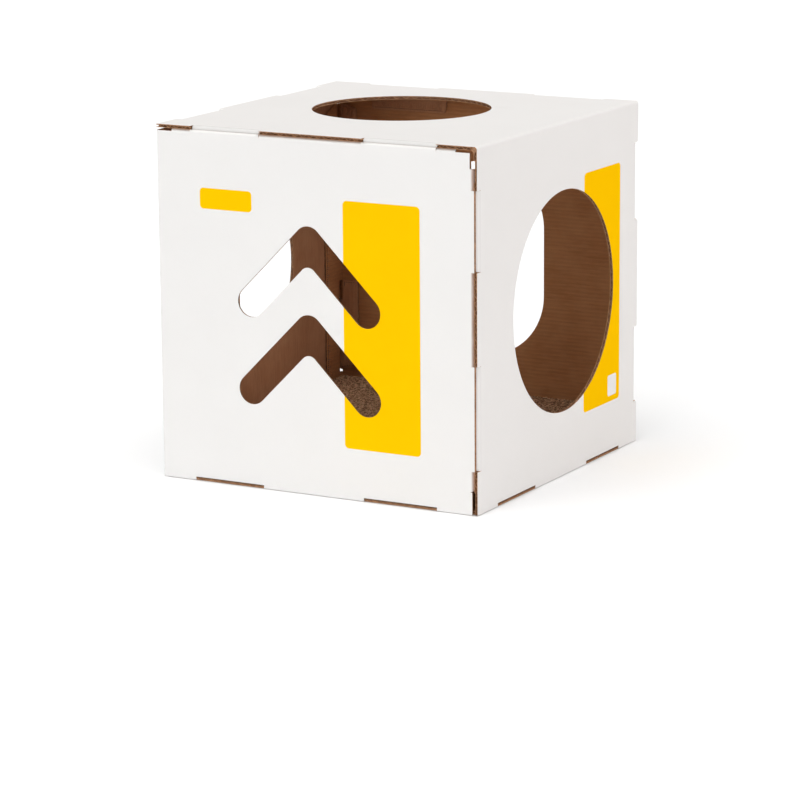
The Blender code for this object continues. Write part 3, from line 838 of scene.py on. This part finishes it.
def panel(name, outer, inner, core, holes, place, joins, wave_axis, seed, lean=0.0, outer_breaks=(),
          breaks_axis=0, flute_breaks=(), curl=None, edge_lines=(), pinch=(), crush=(1.5, 2.8)):
    """A whole wall: outer liner, inner liner, flutes, crushed edges."""
    b = Board(name)
    place = pinched(place, pinch)
    coarse_u, coarse_v = lines(-200, 200, 25), lines(0 if breaks_axis != 2 else -200, 400, 25)
    ub = list(coarse_u) + (list(outer_breaks) if breaks_axis == 0 else [])
    vb = list(coarse_v) + (list(outer_breaks) if breaks_axis == 1 else []) + list(edge_lines)
    skin(b, [outer] + holes, place, joins, 0.0, LINER, 0.10, (OUT, EDGE, EDGE), ub, vb, curl=curl, pinch=pinch)
    fine = np.arange(-204.0, 404.0, RIDGE / 4).tolist()
    if wave_axis == 0:
        u_in, v_in = fine, lines(-200, 400, 40)
    else:
        u_in, v_in = lines(-200, 400, 40), fine
    skin(b, [inner] + holes, place, joins, T - LINER, T, -0.10, (EDGE, IN, EDGE), u_in, v_in,
         ridge=ridged(wave_axis, seed), pinch=pinch)
    flutes(b, [core] + holes, place, wave_axis, EDGE, seed, lean=lean, breaks=flute_breaks,
           ends=(0.8, 1.6, 2.6, 4.0) if pinch else ())
    crushed(b, [core], place, joins, HOLLOW_SHADE, seed, depth=crush)
    crushed(b, [core] + holes, place, joins, HOLLOW_SHADE, seed, depth=(0.5, 1.3), skip=1)
    return b


def curled(zones, k, edge, width=2.6, amount=4.0):
    """Where a wall's edge lies under a creased tab, its outer liner rolls over."""
    def bend(u, v):
        s, t = (u, v) if k == 1 else (v, u)
        on = np.zeros(len(s))
        for lo, hi in zones:
            side = np.minimum(s - lo, hi - s)
            on = np.maximum(on, np.clip(side / 0.8 + 0.2, 0, 1))
        x = np.clip((t - (edge - width)) / width, 0, 1)
        return on * amount * (1 - np.sqrt(1 - 0.97 * x ** 2))
    return bend


def lowered(loop, k, edge, drop):
    """The core's outline, cut back under a rolled-over edge."""
    return swap(loop, k, edge, edge - drop)


def swap(loop, k, old, fresh):
    """The loop with coordinate k moved from old to fresh."""
    out = []
    for p in loop:
        q = list(p)
        if abs(q[k] - old) < 1e-4:
            q[k] = fresh
        out.append(tuple(q))
    return out


STOPS = [(0, STOP), (0, -STOP), (1, TOP_STOP)]


def at_front(u, v, d):
    a = np.clip((-196.5 - u) / FOLD_R, 0, None)
    r = FOLD_R - d
    x = np.where(a > 0, -196.5 - r * np.sin(a), u)
    y = np.where(a > 0, -196.5 - r * np.cos(a), -H + d)
    return np.stack([x, y, v + 0 * u], 1)


def at_left(u, v, d):
    return np.stack([-H + d, u, v], 1)


def at_right(u, v, d):
    return np.stack([H - d, u, v], 1)


def at_back(u, v, d):
    a = np.clip((3.5 - v) / FOLD_R, 0, None)
    r = FOLD_R - d
    y = np.where(a > 0, 196.5 + r * np.cos(a), H - d)
    z = np.where(a > 0, 3.5 - r * np.sin(a), v)
    return np.stack([u + 0 * v, y, z], 1)


def at_bottom(u, v, d):
    return np.stack([u, v, d], 1)


def at_top(u, v, d):
    return np.stack([u, v, SIDE - d], 1)


FOLD_END = -196.5 - FOLD_R * math.pi / 2
U0, U1 = -INNER + GAP, INNER + 0.5

# front outline, as in the frame
NOTCH = 3.7
front = [(U0, 0.0)]
for lo, hi in FRONT_FOOT:
    front += [(lo - GAP, 0.0), (lo - GAP, NOTCH), (hi + GAP, NOTCH), (hi + GAP, 0.0)]
front += [(FOOT_STOP, 0.0), (FOOT_STOP, UPRIGHT[0])]
z = UPRIGHT[0]
for lo, hi in FRONT_RIGHT:
    front += [(STOP, z), (STOP, lo), (U1, lo), (U1, hi)]
    z = hi
front += [(STOP, z), (STOP, UPRIGHT[1]), (191.4, UPRIGHT[1]), (191.4, SIDE - RELIEF)]
TOP_FRONT = (-180.0, 174.0)
front += [(TOP_FRONT[1], SIDE - RELIEF)]
x = TOP_FRONT[1]
for lo, hi in reversed(FRONT_TOP):
    front += [(x, TOP_STOP), (hi, TOP_STOP), (hi, FLAT_TOP - GAP), (lo, FLAT_TOP - GAP)]
    x = lo
front += [(x, TOP_STOP), (TOP_FRONT[0], TOP_STOP), (TOP_FRONT[0], SIDE - RELIEF), (U0, SIDE - RELIEF)]
front = tidy(front)
arrows = [tidy(arrow(ARROW_X, ez)) for ez in ARROW_END_Z]

left = [(-H, 0.0)]
for lo, hi in SIDE_FOOT:
    left += [(lo - GAP, 0.0), (lo - GAP, NOTCH), (hi + GAP, NOTCH), (hi + GAP, 0.0)]
left += [(FINGER, 0.0)]
for lo, hi in ((LEFT_SLOTS[0][0], BACK_UPRIGHT[0][1]), BACK_UPRIGHT[1]):
    left += [(FINGER, lo), (STOP, lo), (STOP, hi), (FINGER, hi)]
left += [(FINGER, CORNER_CUT), (H - RELIEF, CORNER_CUT), (H - RELIEF, SIDE - RELIEF)]
TOP_LEFT = (-178.0, 178.0)
left += [(TOP_LEFT[1], SIDE - RELIEF)]
y = TOP_LEFT[1]
for lo, hi in reversed(LEFT_TOP):
    left += [(y, TOP_STOP), (hi, TOP_STOP), (hi, FLAT_TOP - GAP), (lo, FLAT_TOP - GAP)]
    y = lo
left += [(y, TOP_STOP), (TOP_LEFT[0], TOP_STOP), (TOP_LEFT[0], SIDE - RELIEF), (-H, SIDE - RELIEF)]
left = tidy(left)

right = [(-FINGER, 0.0)]
for lo, hi in SIDE_FOOT:
    right += [(lo - GAP, 0.0), (lo - GAP, NOTCH), (hi + GAP, NOTCH), (hi + GAP, 0.0)]
right += [(FINGER, 0.0)]
for lo, hi in BACK_UPRIGHT:
    right += [(FINGER, lo), (STOP, lo), (STOP, hi), (FINGER, hi)]
right += [(FINGER, SIDE), (-FINGER, SIDE)]
for lo, hi in reversed(FRONT_RIGHT):
    right += [(-FINGER, hi), (-STOP, hi), (-STOP, lo), (-FINGER, lo)]
right = tidy(right)

back = [(-INNER + 1, 0.0), (INNER - 1, 0.0), (INNER - 1, UPRIGHT[0])]
z = UPRIGHT[0]
for lo, hi in BACK_UPRIGHT:
    back += [(STOP, z), (STOP, lo), (INNER, lo), (INNER, hi)]
    z = hi
back += [(STOP, z), (STOP, UPRIGHT[1]), (H - RELIEF, UPRIGHT[1]), (H - RELIEF, SIDE - RELIEF)]
back += [(TOP_FRONT[1], SIDE - RELIEF)]
x = TOP_FRONT[1]
for lo, hi in reversed(BACK_TOP):
    back += [(x, TOP_STOP), (hi, TOP_STOP), (hi, FLAT_TOP - GAP), (lo, FLAT_TOP - GAP)]
    x = lo
back += [(x, TOP_STOP), (TOP_FRONT[0], TOP_STOP), (TOP_FRONT[0], SIDE - RELIEF),
         (-(H - RELIEF), SIDE - RELIEF), (-(H - RELIEF), CORNER_CUT)]
z = CORNER_CUT
for lo, hi in reversed(((LEFT_SLOTS[0][0] + 3.0, LEFT_SLOTS[0][1]), (LEFT_SLOTS[1][0], CORNER_CUT))):
    back += [(-STOP, z), (-STOP, hi), (-INNER + 0.2, hi), (-INNER + 0.2, lo)]
    z = lo
back += [(-193.2, z), (-193.2, LEFT_SLOTS[0][0])]
z = LEFT_SLOTS[0][0]
back += [(-STOP, z), (-STOP, UPRIGHT[0]), (-INNER + 1, UPRIGHT[0])]
back = tidy(back)

E = INNER - GAP
bottom = [(-E, -E)]
for lo, hi in FRONT_FOOT:
    bottom += [(lo, -E), (lo, -FINGER), (hi, -FINGER), (hi, -E)]
bottom += [(E, -E)]
for lo, hi in SIDE_FOOT:
    bottom += [(E, lo), (FINGER, lo), (FINGER, hi), (E, hi)]
bottom += [(E, E), (-E, E)]
for lo, hi in reversed(SIDE_FOOT):
    bottom += [(-E, hi), (-FINGER, hi), (-FINGER, lo), (-E, lo)]
bottom = tidy(bottom)

top = [(-FINGER, -FINGER)]
for lo, hi in FRONT_TOP:
    top += [(lo, -FINGER), (lo, -STOP), (hi, -STOP), (hi, -FINGER)]
top += [(E, -FINGER), (E, FINGER)]
for lo, hi in reversed(BACK_TOP):
    top += [(hi, FINGER), (hi, STOP), (lo, STOP), (lo, FINGER)]
top += [(-FINGER, FINGER)]
for lo, hi in reversed(LEFT_TOP):
    top += [(-FINGER, hi), (-STOP, hi), (-STOP, lo), (-FINGER, lo)]
top = tidy(top)

arc_u = [-196.5 - FOLD_R * math.pi / 2 * k / 6 for k in range(6)]
TOP_EDGE = FLAT_TOP - GAP
edge_lines = [TOP_EDGE - w for w in (0.25, 0.6, 1.0, 1.5, 2.0, 2.6)]
b = panel("front_board", swap(front, 0, U0, FOLD_END), lowered(swap(front, 0, U0, -INNER), 1, TOP_EDGE, 0.6),
          lowered(swap(front, 0, U0, -197.4), 1, TOP_EDGE, 2.4), arrows,
          at_front, STOPS + [(0, FOLD_END), (0, -INNER), (0, -197.4)], 0, 3, outer_breaks=arc_u, breaks_axis=0,
          curl=curled(FRONT_TOP, 1, TOP_EDGE), edge_lines=edge_lines,
          pinch=[(loop_segments(arrows[0]) + loop_segments(arrows[1]), 0.0, 1.0, 1.9, 3.5),
                 ([(FOOT_STOP, 0.0, FOOT_STOP, UPRIGHT[0])], 0.0, 1.0, 2.0, 3.0)])
front_ob = b.make([white_front, kraft_z, cut])
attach(front_ob, "house"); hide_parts("front_panel")

b = panel("left_board", swap(left, 0, -H, -196.5), lowered(swap(left, 0, -H, -INNER), 1, TOP_EDGE, 0.6),
          lowered(swap(left, 0, -H, -196.4), 1, TOP_EDGE, 2.4), [circle(*LEFT_HOLE)],
          at_left, STOPS + [(0, -196.5), (0, -INNER), (0, -196.4)], 0, 5,
          curl=curled(LEFT_TOP, 1, TOP_EDGE), edge_lines=edge_lines)
left_ob = b.make([white_upright, kraft_z, cut])
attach(left_ob, "house"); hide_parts("left_panel")

b = panel("right_board", swap(right, 1, SIDE, 396.5), swap(right, 1, SIDE, 393.0), swap(right, 1, SIDE, 395.9), [circle(*RIGHT_HOLE)],
          at_right, STOPS + [(1, 396.5), (1, 393.0), (1, 395.9)], 1, 11,
          pinch=[([(-FINGER, 0.0, -FINGER, 24.0)], 0.0, 1.0, 1.5, 3.0),
                 ([(-FINGER, 363.0, -FINGER, 384.0)], 0.0, 1.0, 2.4, 3.0),
                 ([(FINGER, x, STOP + 3.0, x) for zone in BACK_UPRIGHT for x in zone], 3.2, 2.6, 0.0, 1.0)])
right_ob = b.make([white_right, kraft_y, cut])
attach(right_ob, "house"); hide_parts("right_panel")

arc_v = [3.5 - FOLD_R * math.pi / 2 * k / 6 for k in range(6)]
BACK_END = 3.5 - FOLD_R * math.pi / 2
b = panel("back_board", swap(back, 1, 0.0, BACK_END), lowered(swap(back, 1, 0.0, T), 1, TOP_EDGE, 0.6),
          lowered(swap(back, 1, 0.0, 3.9), 1, TOP_EDGE, 2.4), [pill(*BACK_PILL)],
          at_back, STOPS + [(1, BACK_END), (1, T), (1, 3.9)], 1, 17, outer_breaks=arc_v, breaks_axis=1,
          curl=curled(BACK_TOP, 1, TOP_EDGE), edge_lines=edge_lines)
back_ob = b.make([white_along_x, kraft_x, cut])
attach(back_ob, "house"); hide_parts("back_panel")

b = panel("bottom_board", swap(bottom, 1, E, 196.5), swap(bottom, 1, E, INNER), swap(bottom, 1, E, 195.9), [],
          at_bottom, [(1, 196.5), (1, INNER), (1, 195.9)], 0, 23, lean=0.55, breaks_axis=2,
          pinch=[([(lo, -FINGER, hi, -FINGER) for lo, hi in FRONT_FOOT]
                  + [(e, lo, e, hi) for lo, hi in SIDE_FOOT for e in (FINGER, -FINGER)], 0.0, 1.0, 1.45, 15.0)],
          crush=(0.25, 0.8))
# painted shade: the inner liner of the foot tabs, out past the walls under their notches, takes the dark hollow colour
# for the shade in that gap
centres = np.array([np.mean(np.concatenate(b.verts)[list(f)], axis=0) for f in b.faces])
b.mats = [HOLLOW_SHADE if mat == IN and (abs(c[0]) > INNER or c[1] < -INNER) else mat for mat, c in zip(b.mats, centres)]
bottom_ob = b.make([white_along_y, kraft_y, cut])
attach(bottom_ob, "house"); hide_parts("bottom_panel")

b = panel("lid_board", swap(top, 0, E, 196.5), swap(top, 0, E, 193.0), swap(top, 0, E, 195.6), [circle(*TOP_HOLE)],
          at_top, STOPS[:2] + [(0, 196.5), (0, 193.0), (0, 195.6), (1, STOP), (1, -STOP)], 0, 29, breaks_axis=2,
          pinch=[([(x, FINGER, x, STOP + 3.0) for zone in BACK_TOP for x in zone]
                  + [(-FINGER, y, -STOP - 3.0, y) for zone in LEFT_TOP for y in zone], 3.2, 2.6, 0.0, 1.0)])
lid_ob = b.make([white_along_y, kraft_y, cut])
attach(lid_ob, "lid"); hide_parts("top_panel")


# ------------------------------------------------ fold between right wall and lid
def section_strip(board, section, y0, y1, mats, ends, rows=40):
    """A closed section in x, z (anticlockwise seen from -Y) drawn along y."""
    ys = np.linspace(y0, y1, rows + 1)
    n = len(section)
    pts = [(x, y, z) for y in ys for x, z in section]
    faces, kinds = [], []
    for r in range(rows):
        for i in range(n):
            j = (i + 1) % n
            faces.append((r * n + i, (r + 1) * n + i, (r + 1) * n + j, r * n + j))
            kinds.append(mats[i])
    faces.append(tuple(range(n)))
    faces.append(tuple(rows * n + i for i in reversed(range(n))))
    kinds += [ends, ends]
    board.add(pts, faces, kinds)


fold = Board("lid_fold_skin")
quarter = [(196.5 + FOLD_R * math.cos(a), 396.5 + FOLD_R * math.sin(a)) for a in np.linspace(0, math.pi / 2, 13)]
quarter_in = [(196.5 + (FOLD_R - LINER) * math.cos(a), 396.5 + (FOLD_R - LINER) * math.sin(a)) for a in np.linspace(math.pi / 2, 0, 13)]
section_strip(fold, quarter + quarter_in, -FINGER, FINGER, [OUT] * 12 + [EDGE] * 14, EDGE)
body_arc = [(196.5 + (FOLD_R - LINER - 0.02) * math.cos(a), 396.5 + (FOLD_R - LINER - 0.02) * math.sin(a)) for a in np.linspace(0, math.pi / 2, 13)]
core_section = body_arc + [(195.2, 399.5), (194.0, 397.4), (193.5, 396.4), (194.6, 395.6), (195.6, 394.6), (196.4, 393.5), (197.4, 394.0), (199.5, 395.2)]
section_strip(fold, core_section, -FINGER + 0.5, FINGER - 0.5, [EDGE] * len(core_section), EDGE)
inner_strip = [(193.0, 396.38), (193.0, 396.0), (194.3, 395.3), (195.3, 394.3), (196.0, 393.0), (196.38, 393.0), (195.65, 394.5), (194.5, 395.65)]
section_strip(fold, inner_strip, -FINGER, FINGER, [EDGE, IN, IN, IN, EDGE, IN, IN, IN], EDGE)
fold_ob = fold.make([white_along_y, kraft_y, cut])
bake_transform(fold_ob)


# ---------------------------------------------------------- flanges and tabs
def bent(map_point, total):
    """(t, s, depth) -> space.  t runs over the crease (0..ARC) and on along the
    board; map_point takes (forward, sideways, s)."""
    def place(t, s, d):
        t, s, d = np.broadcast_arrays(np.asarray(t, float), np.asarray(s, float), np.asarray(d, float))
        a = np.clip(t / ARC, 0, 1) * total
        r = R_OUT - d
        before = np.minimum(t, 0.0)
        after = np.maximum(t - ARC, 0.0)
        f = r * np.sin(a) + after * math.cos(total) + before
        w = r * np.cos(a) - after * math.sin(total)
        return map_point(f, w, s)
    return place


def rounded(points, radius, which):
    """Points with the corners listed in `which` rounded."""
    out = []
    n = len(points)
    for i, p in enumerate(points):
        if i not in which:
            out.append(p)
            continue
        p = np.array(p, float)
        a, c = np.array(points[i - 1], float), np.array(points[(i + 1) % n], float)
        da, dc = a - p, c - p
        la, lc = np.linalg.norm(da), np.linalg.norm(dc)
        da, dc = da / la, dc / lc
        ang = math.acos(max(-1, min(1, float(np.dot(da, dc)))))
        cutback = min(radius / math.tan(ang / 2), la * 0.45, lc * 0.45)
        r = cutback * math.tan(ang / 2)
        centre = p + (da + dc) / np.linalg.norm(da + dc) * (r / math.sin(ang / 2))
        p0, p1 = p + da * cutback, p + dc * cutback
        a0 = math.atan2(*(p0 - centre)[::-1])
        a1 = math.atan2(*(p1 - centre)[::-1])
        while a1 - a0 > math.pi:
            a1 -= 2 * math.pi
        while a1 - a0 < -math.pi:
            a1 += 2 * math.pi
        out += [tuple(centre + r * np.array([math.cos(a0 + (a1 - a0) * k / 6), math.sin(a0 + (a1 - a0) * k / 6)])) for k in range(7)]
    return out


def creased(name, outline, place, wave_axis, seed, materials, deep, press):
    """A flange or tab: liners and flutes carried round the crease.

    press: (amount, width) by which its free edges are pressed thin."""
    b = Board(name)
    arcs = [ARC * k / 12 for k in range(13)]
    joins = [(0, -GAP)]
    free = [seg for seg in cut_segments([outline], joins) if max(seg[0], seg[2]) > ARC + 13.0]
    pinch = [(free, 0.0, 1.0) + press]
    place = pinched(place, pinch)
    tl = arcs + lines(ARC, ARC + deep, 8)
    sl = lines(-200, 400, 25)
    skin(b, [outline], place, joins, 0.0, LINER, 0.08, (OUT, EDGE, EDGE), tl, sl, pinch=pinch)
    if wave_axis == 0:
        rl, rs = np.arange(ARC, ARC + deep, RIDGE / 4).tolist(), sl
    else:
        rl, rs = lines(ARC, ARC + deep, 12), np.arange(-200.0, 400.0, RIDGE / 4).tolist()
    relief = ridged(wave_axis, seed)
    skin(b, [outline], place, joins, T - LINER, T, -0.08, (EDGE, IN, EDGE), arcs + rl, rs,
         ridge=lambda u, v: relief(u, v) * (u > ARC), pinch=pinch)
    near_ends = (0.8, 1.8, 3.0, 4.5)
    if wave_axis == 0:
        flutes(b, [outline], place, 0, EDGE, seed, lo=ARC + 0.4, stretch=60, ends=near_ends)
    else:
        flutes(b, [outline], place, 1, EDGE, seed, breaks=[ARC * k / 5 for k in range(6)] + [ARC + deep - w for w in near_ends],
               stretch=40)
    crushed(b, [outline], place, joins, HOLLOW_SHADE, seed, depth=(1.5, 2.8))
    return b.make(materials)


def flange(name, node, map_point, span, zones, slant, wave_axis, seed, materials, low_cut=0.0):
    deep = 36.0 - R_IN
    slot_end = ARC + 8.5 - R_IN
    pts = [(-GAP, span[0])]
    for lo, hi in zones:
        pts += [(-GAP, lo), (slot_end, lo), (slot_end, hi)]
        if hi < span[1] - 6.0:
            pts.append((-GAP, hi))
    if pts[-1][0] < 0:
        pts += [(-GAP, span[1]), (ARC, span[1])]
    pts += [(ARC + deep, span[1] - slant), (ARC + deep, span[0] + slant), (ARC, span[0] + low_cut)]
    n = len(pts)
    pts = rounded(pts, 4.0, {n - 3, n - 2})
    pts = tidy(pts)[::-1]
    ob = creased(name, pts, bent(map_point, math.pi / 2), wave_axis, seed, materials, deep, (2.4, 9.0))
    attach(ob, "house"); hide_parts(node)
    return ob


LEAN = math.radians(3.0)


def tab(node, map_point, zone, wave_axis, seed, materials, shoulder=None, reach=25.0,
        start=None):
    """A lock tab.  shoulder: where it widens to past its slot, at its neck and at its tip."""
    deep = reach - R_IN
    lo, hi = (start or zone[0]) + 0.35, zone[1] - (0.03 if shoulder else 0.35)
    taper = 0.0 if shoulder else 0.65
    pts = [(-GAP, lo), (-GAP, hi), (ARC * 0.5, hi), (ARC, hi - taper)]
    if shoulder:
        neck = ARC + NECK - R_IN
        pts += [(neck, hi - taper), (neck, shoulder[0]), (ARC + deep, shoulder[1])]
    else:
        pts += [(ARC + deep, hi - 4.65)]
    pts += [(ARC + deep, lo + 4.65), (ARC, lo + 0.65), (ARC * 0.5, lo)]
    n = len(pts)
    pts = rounded(pts, 3.0 if shoulder else 5.0, {n - 4, n - 3})
    pts = tidy(pts)[::-1]
    ob = creased(node + "_board", pts, bent(map_point, math.pi / 2 + LEAN), wave_axis, seed, materials, deep, (2.0, 8.0))
    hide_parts(node)
    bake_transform(ob)
    return ob


UP_TURN, UP = SIDE - H + TURN, SIDE - H + CREASE
stack = lambda a, b, c: np.stack([a + 0 * b + 0 * c, b + 0 * a + 0 * c, c + 0 * a + 0 * b], 1)

Z_MATS = [white_upright, kraft_z, cut]
X_MATS = [white_along_x, kraft_x, cut]
Y_MATS = [white_along_y, kraft_y, cut]
FRONT_RIGHT_MATS = [crease_shaded_brown, kraft_z, cut]
flange("front_right_flange_board", "front_right_flange", lambda f, w, s: stack(TURN + f, -(CREASE + w), s), UPRIGHT, FRONT_RIGHT, 14.0, 0, 31, FRONT_RIGHT_MATS, 3.0)
flange("front_top_flange_board", "front_top_flange", lambda f, w, s: stack(s, -(CREASE + w), UP_TURN + f), TOP_FRONT, FRONT_TOP, 24.0, 1, 32, Z_MATS)
flange("back_right_flange_board", "back_right_flange", lambda f, w, s: stack(TURN + f, CREASE + w, s), UPRIGHT, BACK_UPRIGHT, 14.0, 1, 33, X_MATS)
flange("back_left_flange_board", "back_left_flange", lambda f, w, s: stack(-(TURN + f), CREASE + w, s), UPRIGHT, LEFT_SLOTS, 14.0, 1, 34, X_MATS)
flange("back_top_flange_board", "back_top_flange", lambda f, w, s: stack(s, CREASE + w, UP_TURN + f), TOP_FRONT, BACK_SLOTS, 24.0, 0, 35, X_MATS)
flange("left_top_flange_board", "left_top_flange", lambda f, w, s: stack(-(CREASE + w), s, UP_TURN + f), TOP_LEFT, LEFT_TOP, 24.0, 1, 36, Z_MATS)

TAB_Z = [shaded_crease_z, kraft_z, cut]
TAB_X = [shaded_crease_x, kraft_y, cut]
TAB_Y = [shaded_crease_y, kraft_y, cut]
seed = 50
for label, zone in zip(("lower", "upper"), FRONT_RIGHT):
    tab("right_front_tab_" + label, lambda f, w, s: stack(CREASE + w, -(TURN + f), s), zone,
        1, seed, TAB_Z)
    seed += 1
for label, zone, shoulder, start in zip(("lower", "upper"), BACK_UPRIGHT, ((159.3, 159.0), (375.0, 369.5)), (47.8, 262.75)):
    tab("right_back_tab_" + label, lambda f, w, s: stack(CREASE + w, TURN + f, s), zone,
        1, seed, TAB_Z)
    tab("left_back_tab_" + label, lambda f, w, s: stack(-(CREASE + w), TURN + f, s), zone,
        0, seed + 20, TAB_Z, shoulder, 27.0, start)
    seed += 1
for label, zone in zip(("left", "right"), FRONT_TOP):
    tab("top_front_tab_" + label, lambda f, w, s: stack(s, -(TURN + f), UP + w), zone,
        1, seed, TAB_X)
    seed += 1
for label, zone, shoulder in zip(("left", "right"), BACK_TOP, ((-45.3, -48.5), None)):
    tab("top_back_tab_" + label, lambda f, w, s: stack(s, TURN + f, UP + w), zone,
        1, seed, TAB_X, shoulder)
    seed += 1
for label, zone in zip(("front", "back"), LEFT_TOP):
    tab("top_left_tab_" + label, lambda f, w, s: stack(-(TURN + f), s, UP + w), zone,
        0, seed, TAB_Y)
    seed += 1


# ------------------------------------------------------------------ scratch pad
def scratch_pad():
    """Upright strips of corrugated board glued side by side, flute ends up."""
    b = Board("scratch_pad_board")
    rows = 93
    width = 2 * PAD_HALF / rows
    z0, z1 = T + 0.35, PAD_TOP - 0.25
    r = np.random.default_rng(99)
    wall = 0.62
    # the glued liners between two rows
    for i in range(rows + 1):
        x = -PAD_HALF + i * width
        half = wall / 2
        x = min(max(x, -PAD_HALF + half), PAD_HALF - half)
        ys = np.linspace(-PAD_HALF, PAD_HALF, 60)
        off = smooth_noise(200 + i, ys, 37.0, 0.25)
        if i in (0, rows):
            off = off * 0
        high = z1 - 0.25 + smooth_noise(400 + i, ys, 11.0, 0.24) - np.abs(smooth_noise(500 + i, ys, 29.0, 0.5))
        n = len(ys)
        strip(b, np.column_stack([x + off - half, ys]), np.column_stack([x + off + half, ys]), z0, high)
    pitch, per = 7.6, 4
    for i in range(rows):
        mid = -PAD_HALF + (i + 0.5) * width
        n = int(round(2 * PAD_HALF / pitch * per))
        ys = np.linspace(-PAD_HALF + 0.1, PAD_HALF - 0.1, n + 1)
        ph = 2 * math.pi * ys / pitch + r.uniform(0, 2 * math.pi) + smooth_noise(600 + i, ys, 45.0, 0.7)
        amp = (width - wall) / 2 - 0.12
        xs = mid + amp * np.sin(ph)
        slope = np.gradient(xs, ys)
        nx, ny = 1 / np.sqrt(1 + slope ** 2), -slope / np.sqrt(1 + slope ** 2)
        t = 0.2
        high = z1 - 0.3 + smooth_noise(800 + i, ys, 4.0, 0.3) - np.abs(smooth_noise(900 + i, ys, 17.0, 0.6))
        a0, a1 = np.stack([xs - nx * t, ys - ny * t], 1), np.stack([xs + nx * t, ys + ny * t], 1)
        for a in (a0, a1):
            a[:, 1] = np.clip(a[:, 1], -PAD_HALF, PAD_HALF)
        strip(b, a0, a1, z0, high)
    ob = b.make([pad_board])
    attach(ob, "scratch_pad"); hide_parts("scratch_pad")
    return ob


def strip(board, left_side, right_side, low, high):
    """A thin upright strip between two lines in plan, running towards +Y."""
    n = len(left_side)
    lows = np.full(n, low)
    high = np.minimum(high, PAD_TOP - 0.02)
    P = np.concatenate([np.column_stack([left_side, lows]), np.column_stack([right_side, lows]),
                        np.column_stack([right_side, high]), np.column_stack([left_side, high])])
    F = []
    for k in range(n - 1):
        for a in range(4):
            c = (a + 1) % 4
            F.append((a * n + k, c * n + k, c * n + k + 1, a * n + k + 1))
    F.append((3 * n, 2 * n, n, 0))
    F.append((n - 1, 2 * n - 1, 3 * n - 1, 4 * n - 1))
    board.add(P, F, 0)


scratch_pad()


# ------------------------------------------------------- floor, light and camera
def floor():
    m, nt, bsdf = nodes_of("studio_floor")
    soft = noise(nt, 3.0, (1, 1, 1), 2.0, 0.5)
    nt.links.new(mix_colour(nt, ramp(nt, soft, 0.3, 0.7), (0.950, 0.960, 0.970, 1), (0.960, 0.970, 0.980, 1)), bsdf.inputs["Base Color"])
    bsdf.inputs["Roughness"].default_value = 0.8
    bsdf.inputs["Specular IOR Level"].default_value = 0.1
    me = bpy.data.meshes.new("floor")
    s = 30.0
    me.from_pydata([(-s, -s, -0.0006), (s, -s, -0.0006), (s, s, -0.0006), (-s, s, -0.0006)], [], [(0, 1, 2, 3)])
    me.materials.append(m)
    ob = bpy.data.objects.new("floor", me)
    bpy.context.scene.collection.objects.link(ob)


floor()


def backdrop(radius=28.0, height=14.0, sides=96):
    """A white studio wall far behind, seen by the camera only."""
    m, nt, bsdf = nodes_of("studio_wall")
    bsdf.inputs["Base Color"].default_value = (0, 0, 0, 1)
    bsdf.inputs["Specular IOR Level"].default_value = 0.0
    bsdf.inputs["Emission Color"].default_value = (1, 1, 1, 1)
    bsdf.inputs["Emission Strength"].default_value = 1.0
    ring = [(radius * math.cos(2 * math.pi * k / sides), radius * math.sin(2 * math.pi * k / sides)) for k in range(sides)]
    me = bpy.data.meshes.new("backdrop")
    me.from_pydata([(x, y, z) for z in (-0.0006, height) for x, y in ring], [],
                   [(k, k + sides, (k + 1) % sides + sides, (k + 1) % sides) for k in range(sides)])
    me.materials.append(m)
    ob = bpy.data.objects.new("backdrop", me)
    ob.visible_diffuse = ob.visible_glossy = ob.visible_transmission = ob.visible_shadow = False
    bpy.context.scene.collection.objects.link(ob)


backdrop()

world = bpy.data.worlds.new("studio")
bpy.context.scene.world = world
world.use_nodes = True
bg = world.node_tree.nodes["Background"]
bg.inputs["Color"].default_value = (1.0, 0.995, 0.985, 1)
bg.inputs["Strength"].default_value = 0.42


def sun(name, direction, strength, angle, colour=(1, 1, 1)):
    """A large soft source far away, seen from the house in `direction`."""
    data = bpy.data.lights.new(name, "SUN")
    data.energy = strength
    data.angle = math.radians(angle)
    data.color = colour
    ob = bpy.data.objects.new(name, data)
    ob.rotation_euler = Vector(direction).to_track_quat("Z", "Y").to_euler()
    ob.location = Vector(direction) * 3
    bpy.context.scene.collection.objects.link(ob)


sun("key_front", (0.09, -0.98, 0.20), 0.48, 24.0, (0.962, 0.988, 1.0))
sun("key_left", (-0.36, -0.93, 0.28), 0.22, 16.0, (0.962, 0.988, 1.0))
sun("side_right", (0.97, 0.06, 0.12), 0.70, 30.0, (1.0, 0.90, 0.87))
sun("overhead", (0.0, -0.20, 1.0), 2.08, 60.0, (1.0, 0.985, 0.968))

camera = bpy.data.cameras.new("camera")
camera.sensor_width = 36.0
camera.lens = 3520.0 / 800.0 * 36.0
camera.clip_start, camera.clip_end = 0.05, 100.0
cam = bpy.data.objects.new("camera", camera)
yaw, pitch, roll = (math.radians(a) for a in (28.951, 12.614, -0.416))
backward = Vector((math.sin(yaw) * math.cos(pitch), -math.cos(yaw) * math.cos(pitch), math.sin(pitch)))
rightward = (-backward).cross(Vector((0, 0, 1))).normalized()
upward = rightward.cross(-backward)
r2 = math.cos(roll) * rightward + math.sin(roll) * upward
u2 = -math.sin(roll) * rightward + math.cos(roll) * upward
cam.matrix_world = Matrix((
    (r2.x, u2.x, backward.x, 1.9018),
    (r2.y, u2.y, backward.y, -3.4468),
    (r2.z, u2.z, backward.z, 0.9487),
    (0, 0, 0, 1)))
bpy.context.scene.collection.objects.link(cam)
bpy.context.scene.camera = cam
bpy.context.scene.view_settings.view_transform = "Standard"
bpy.context.scene.view_settings.look = "None"
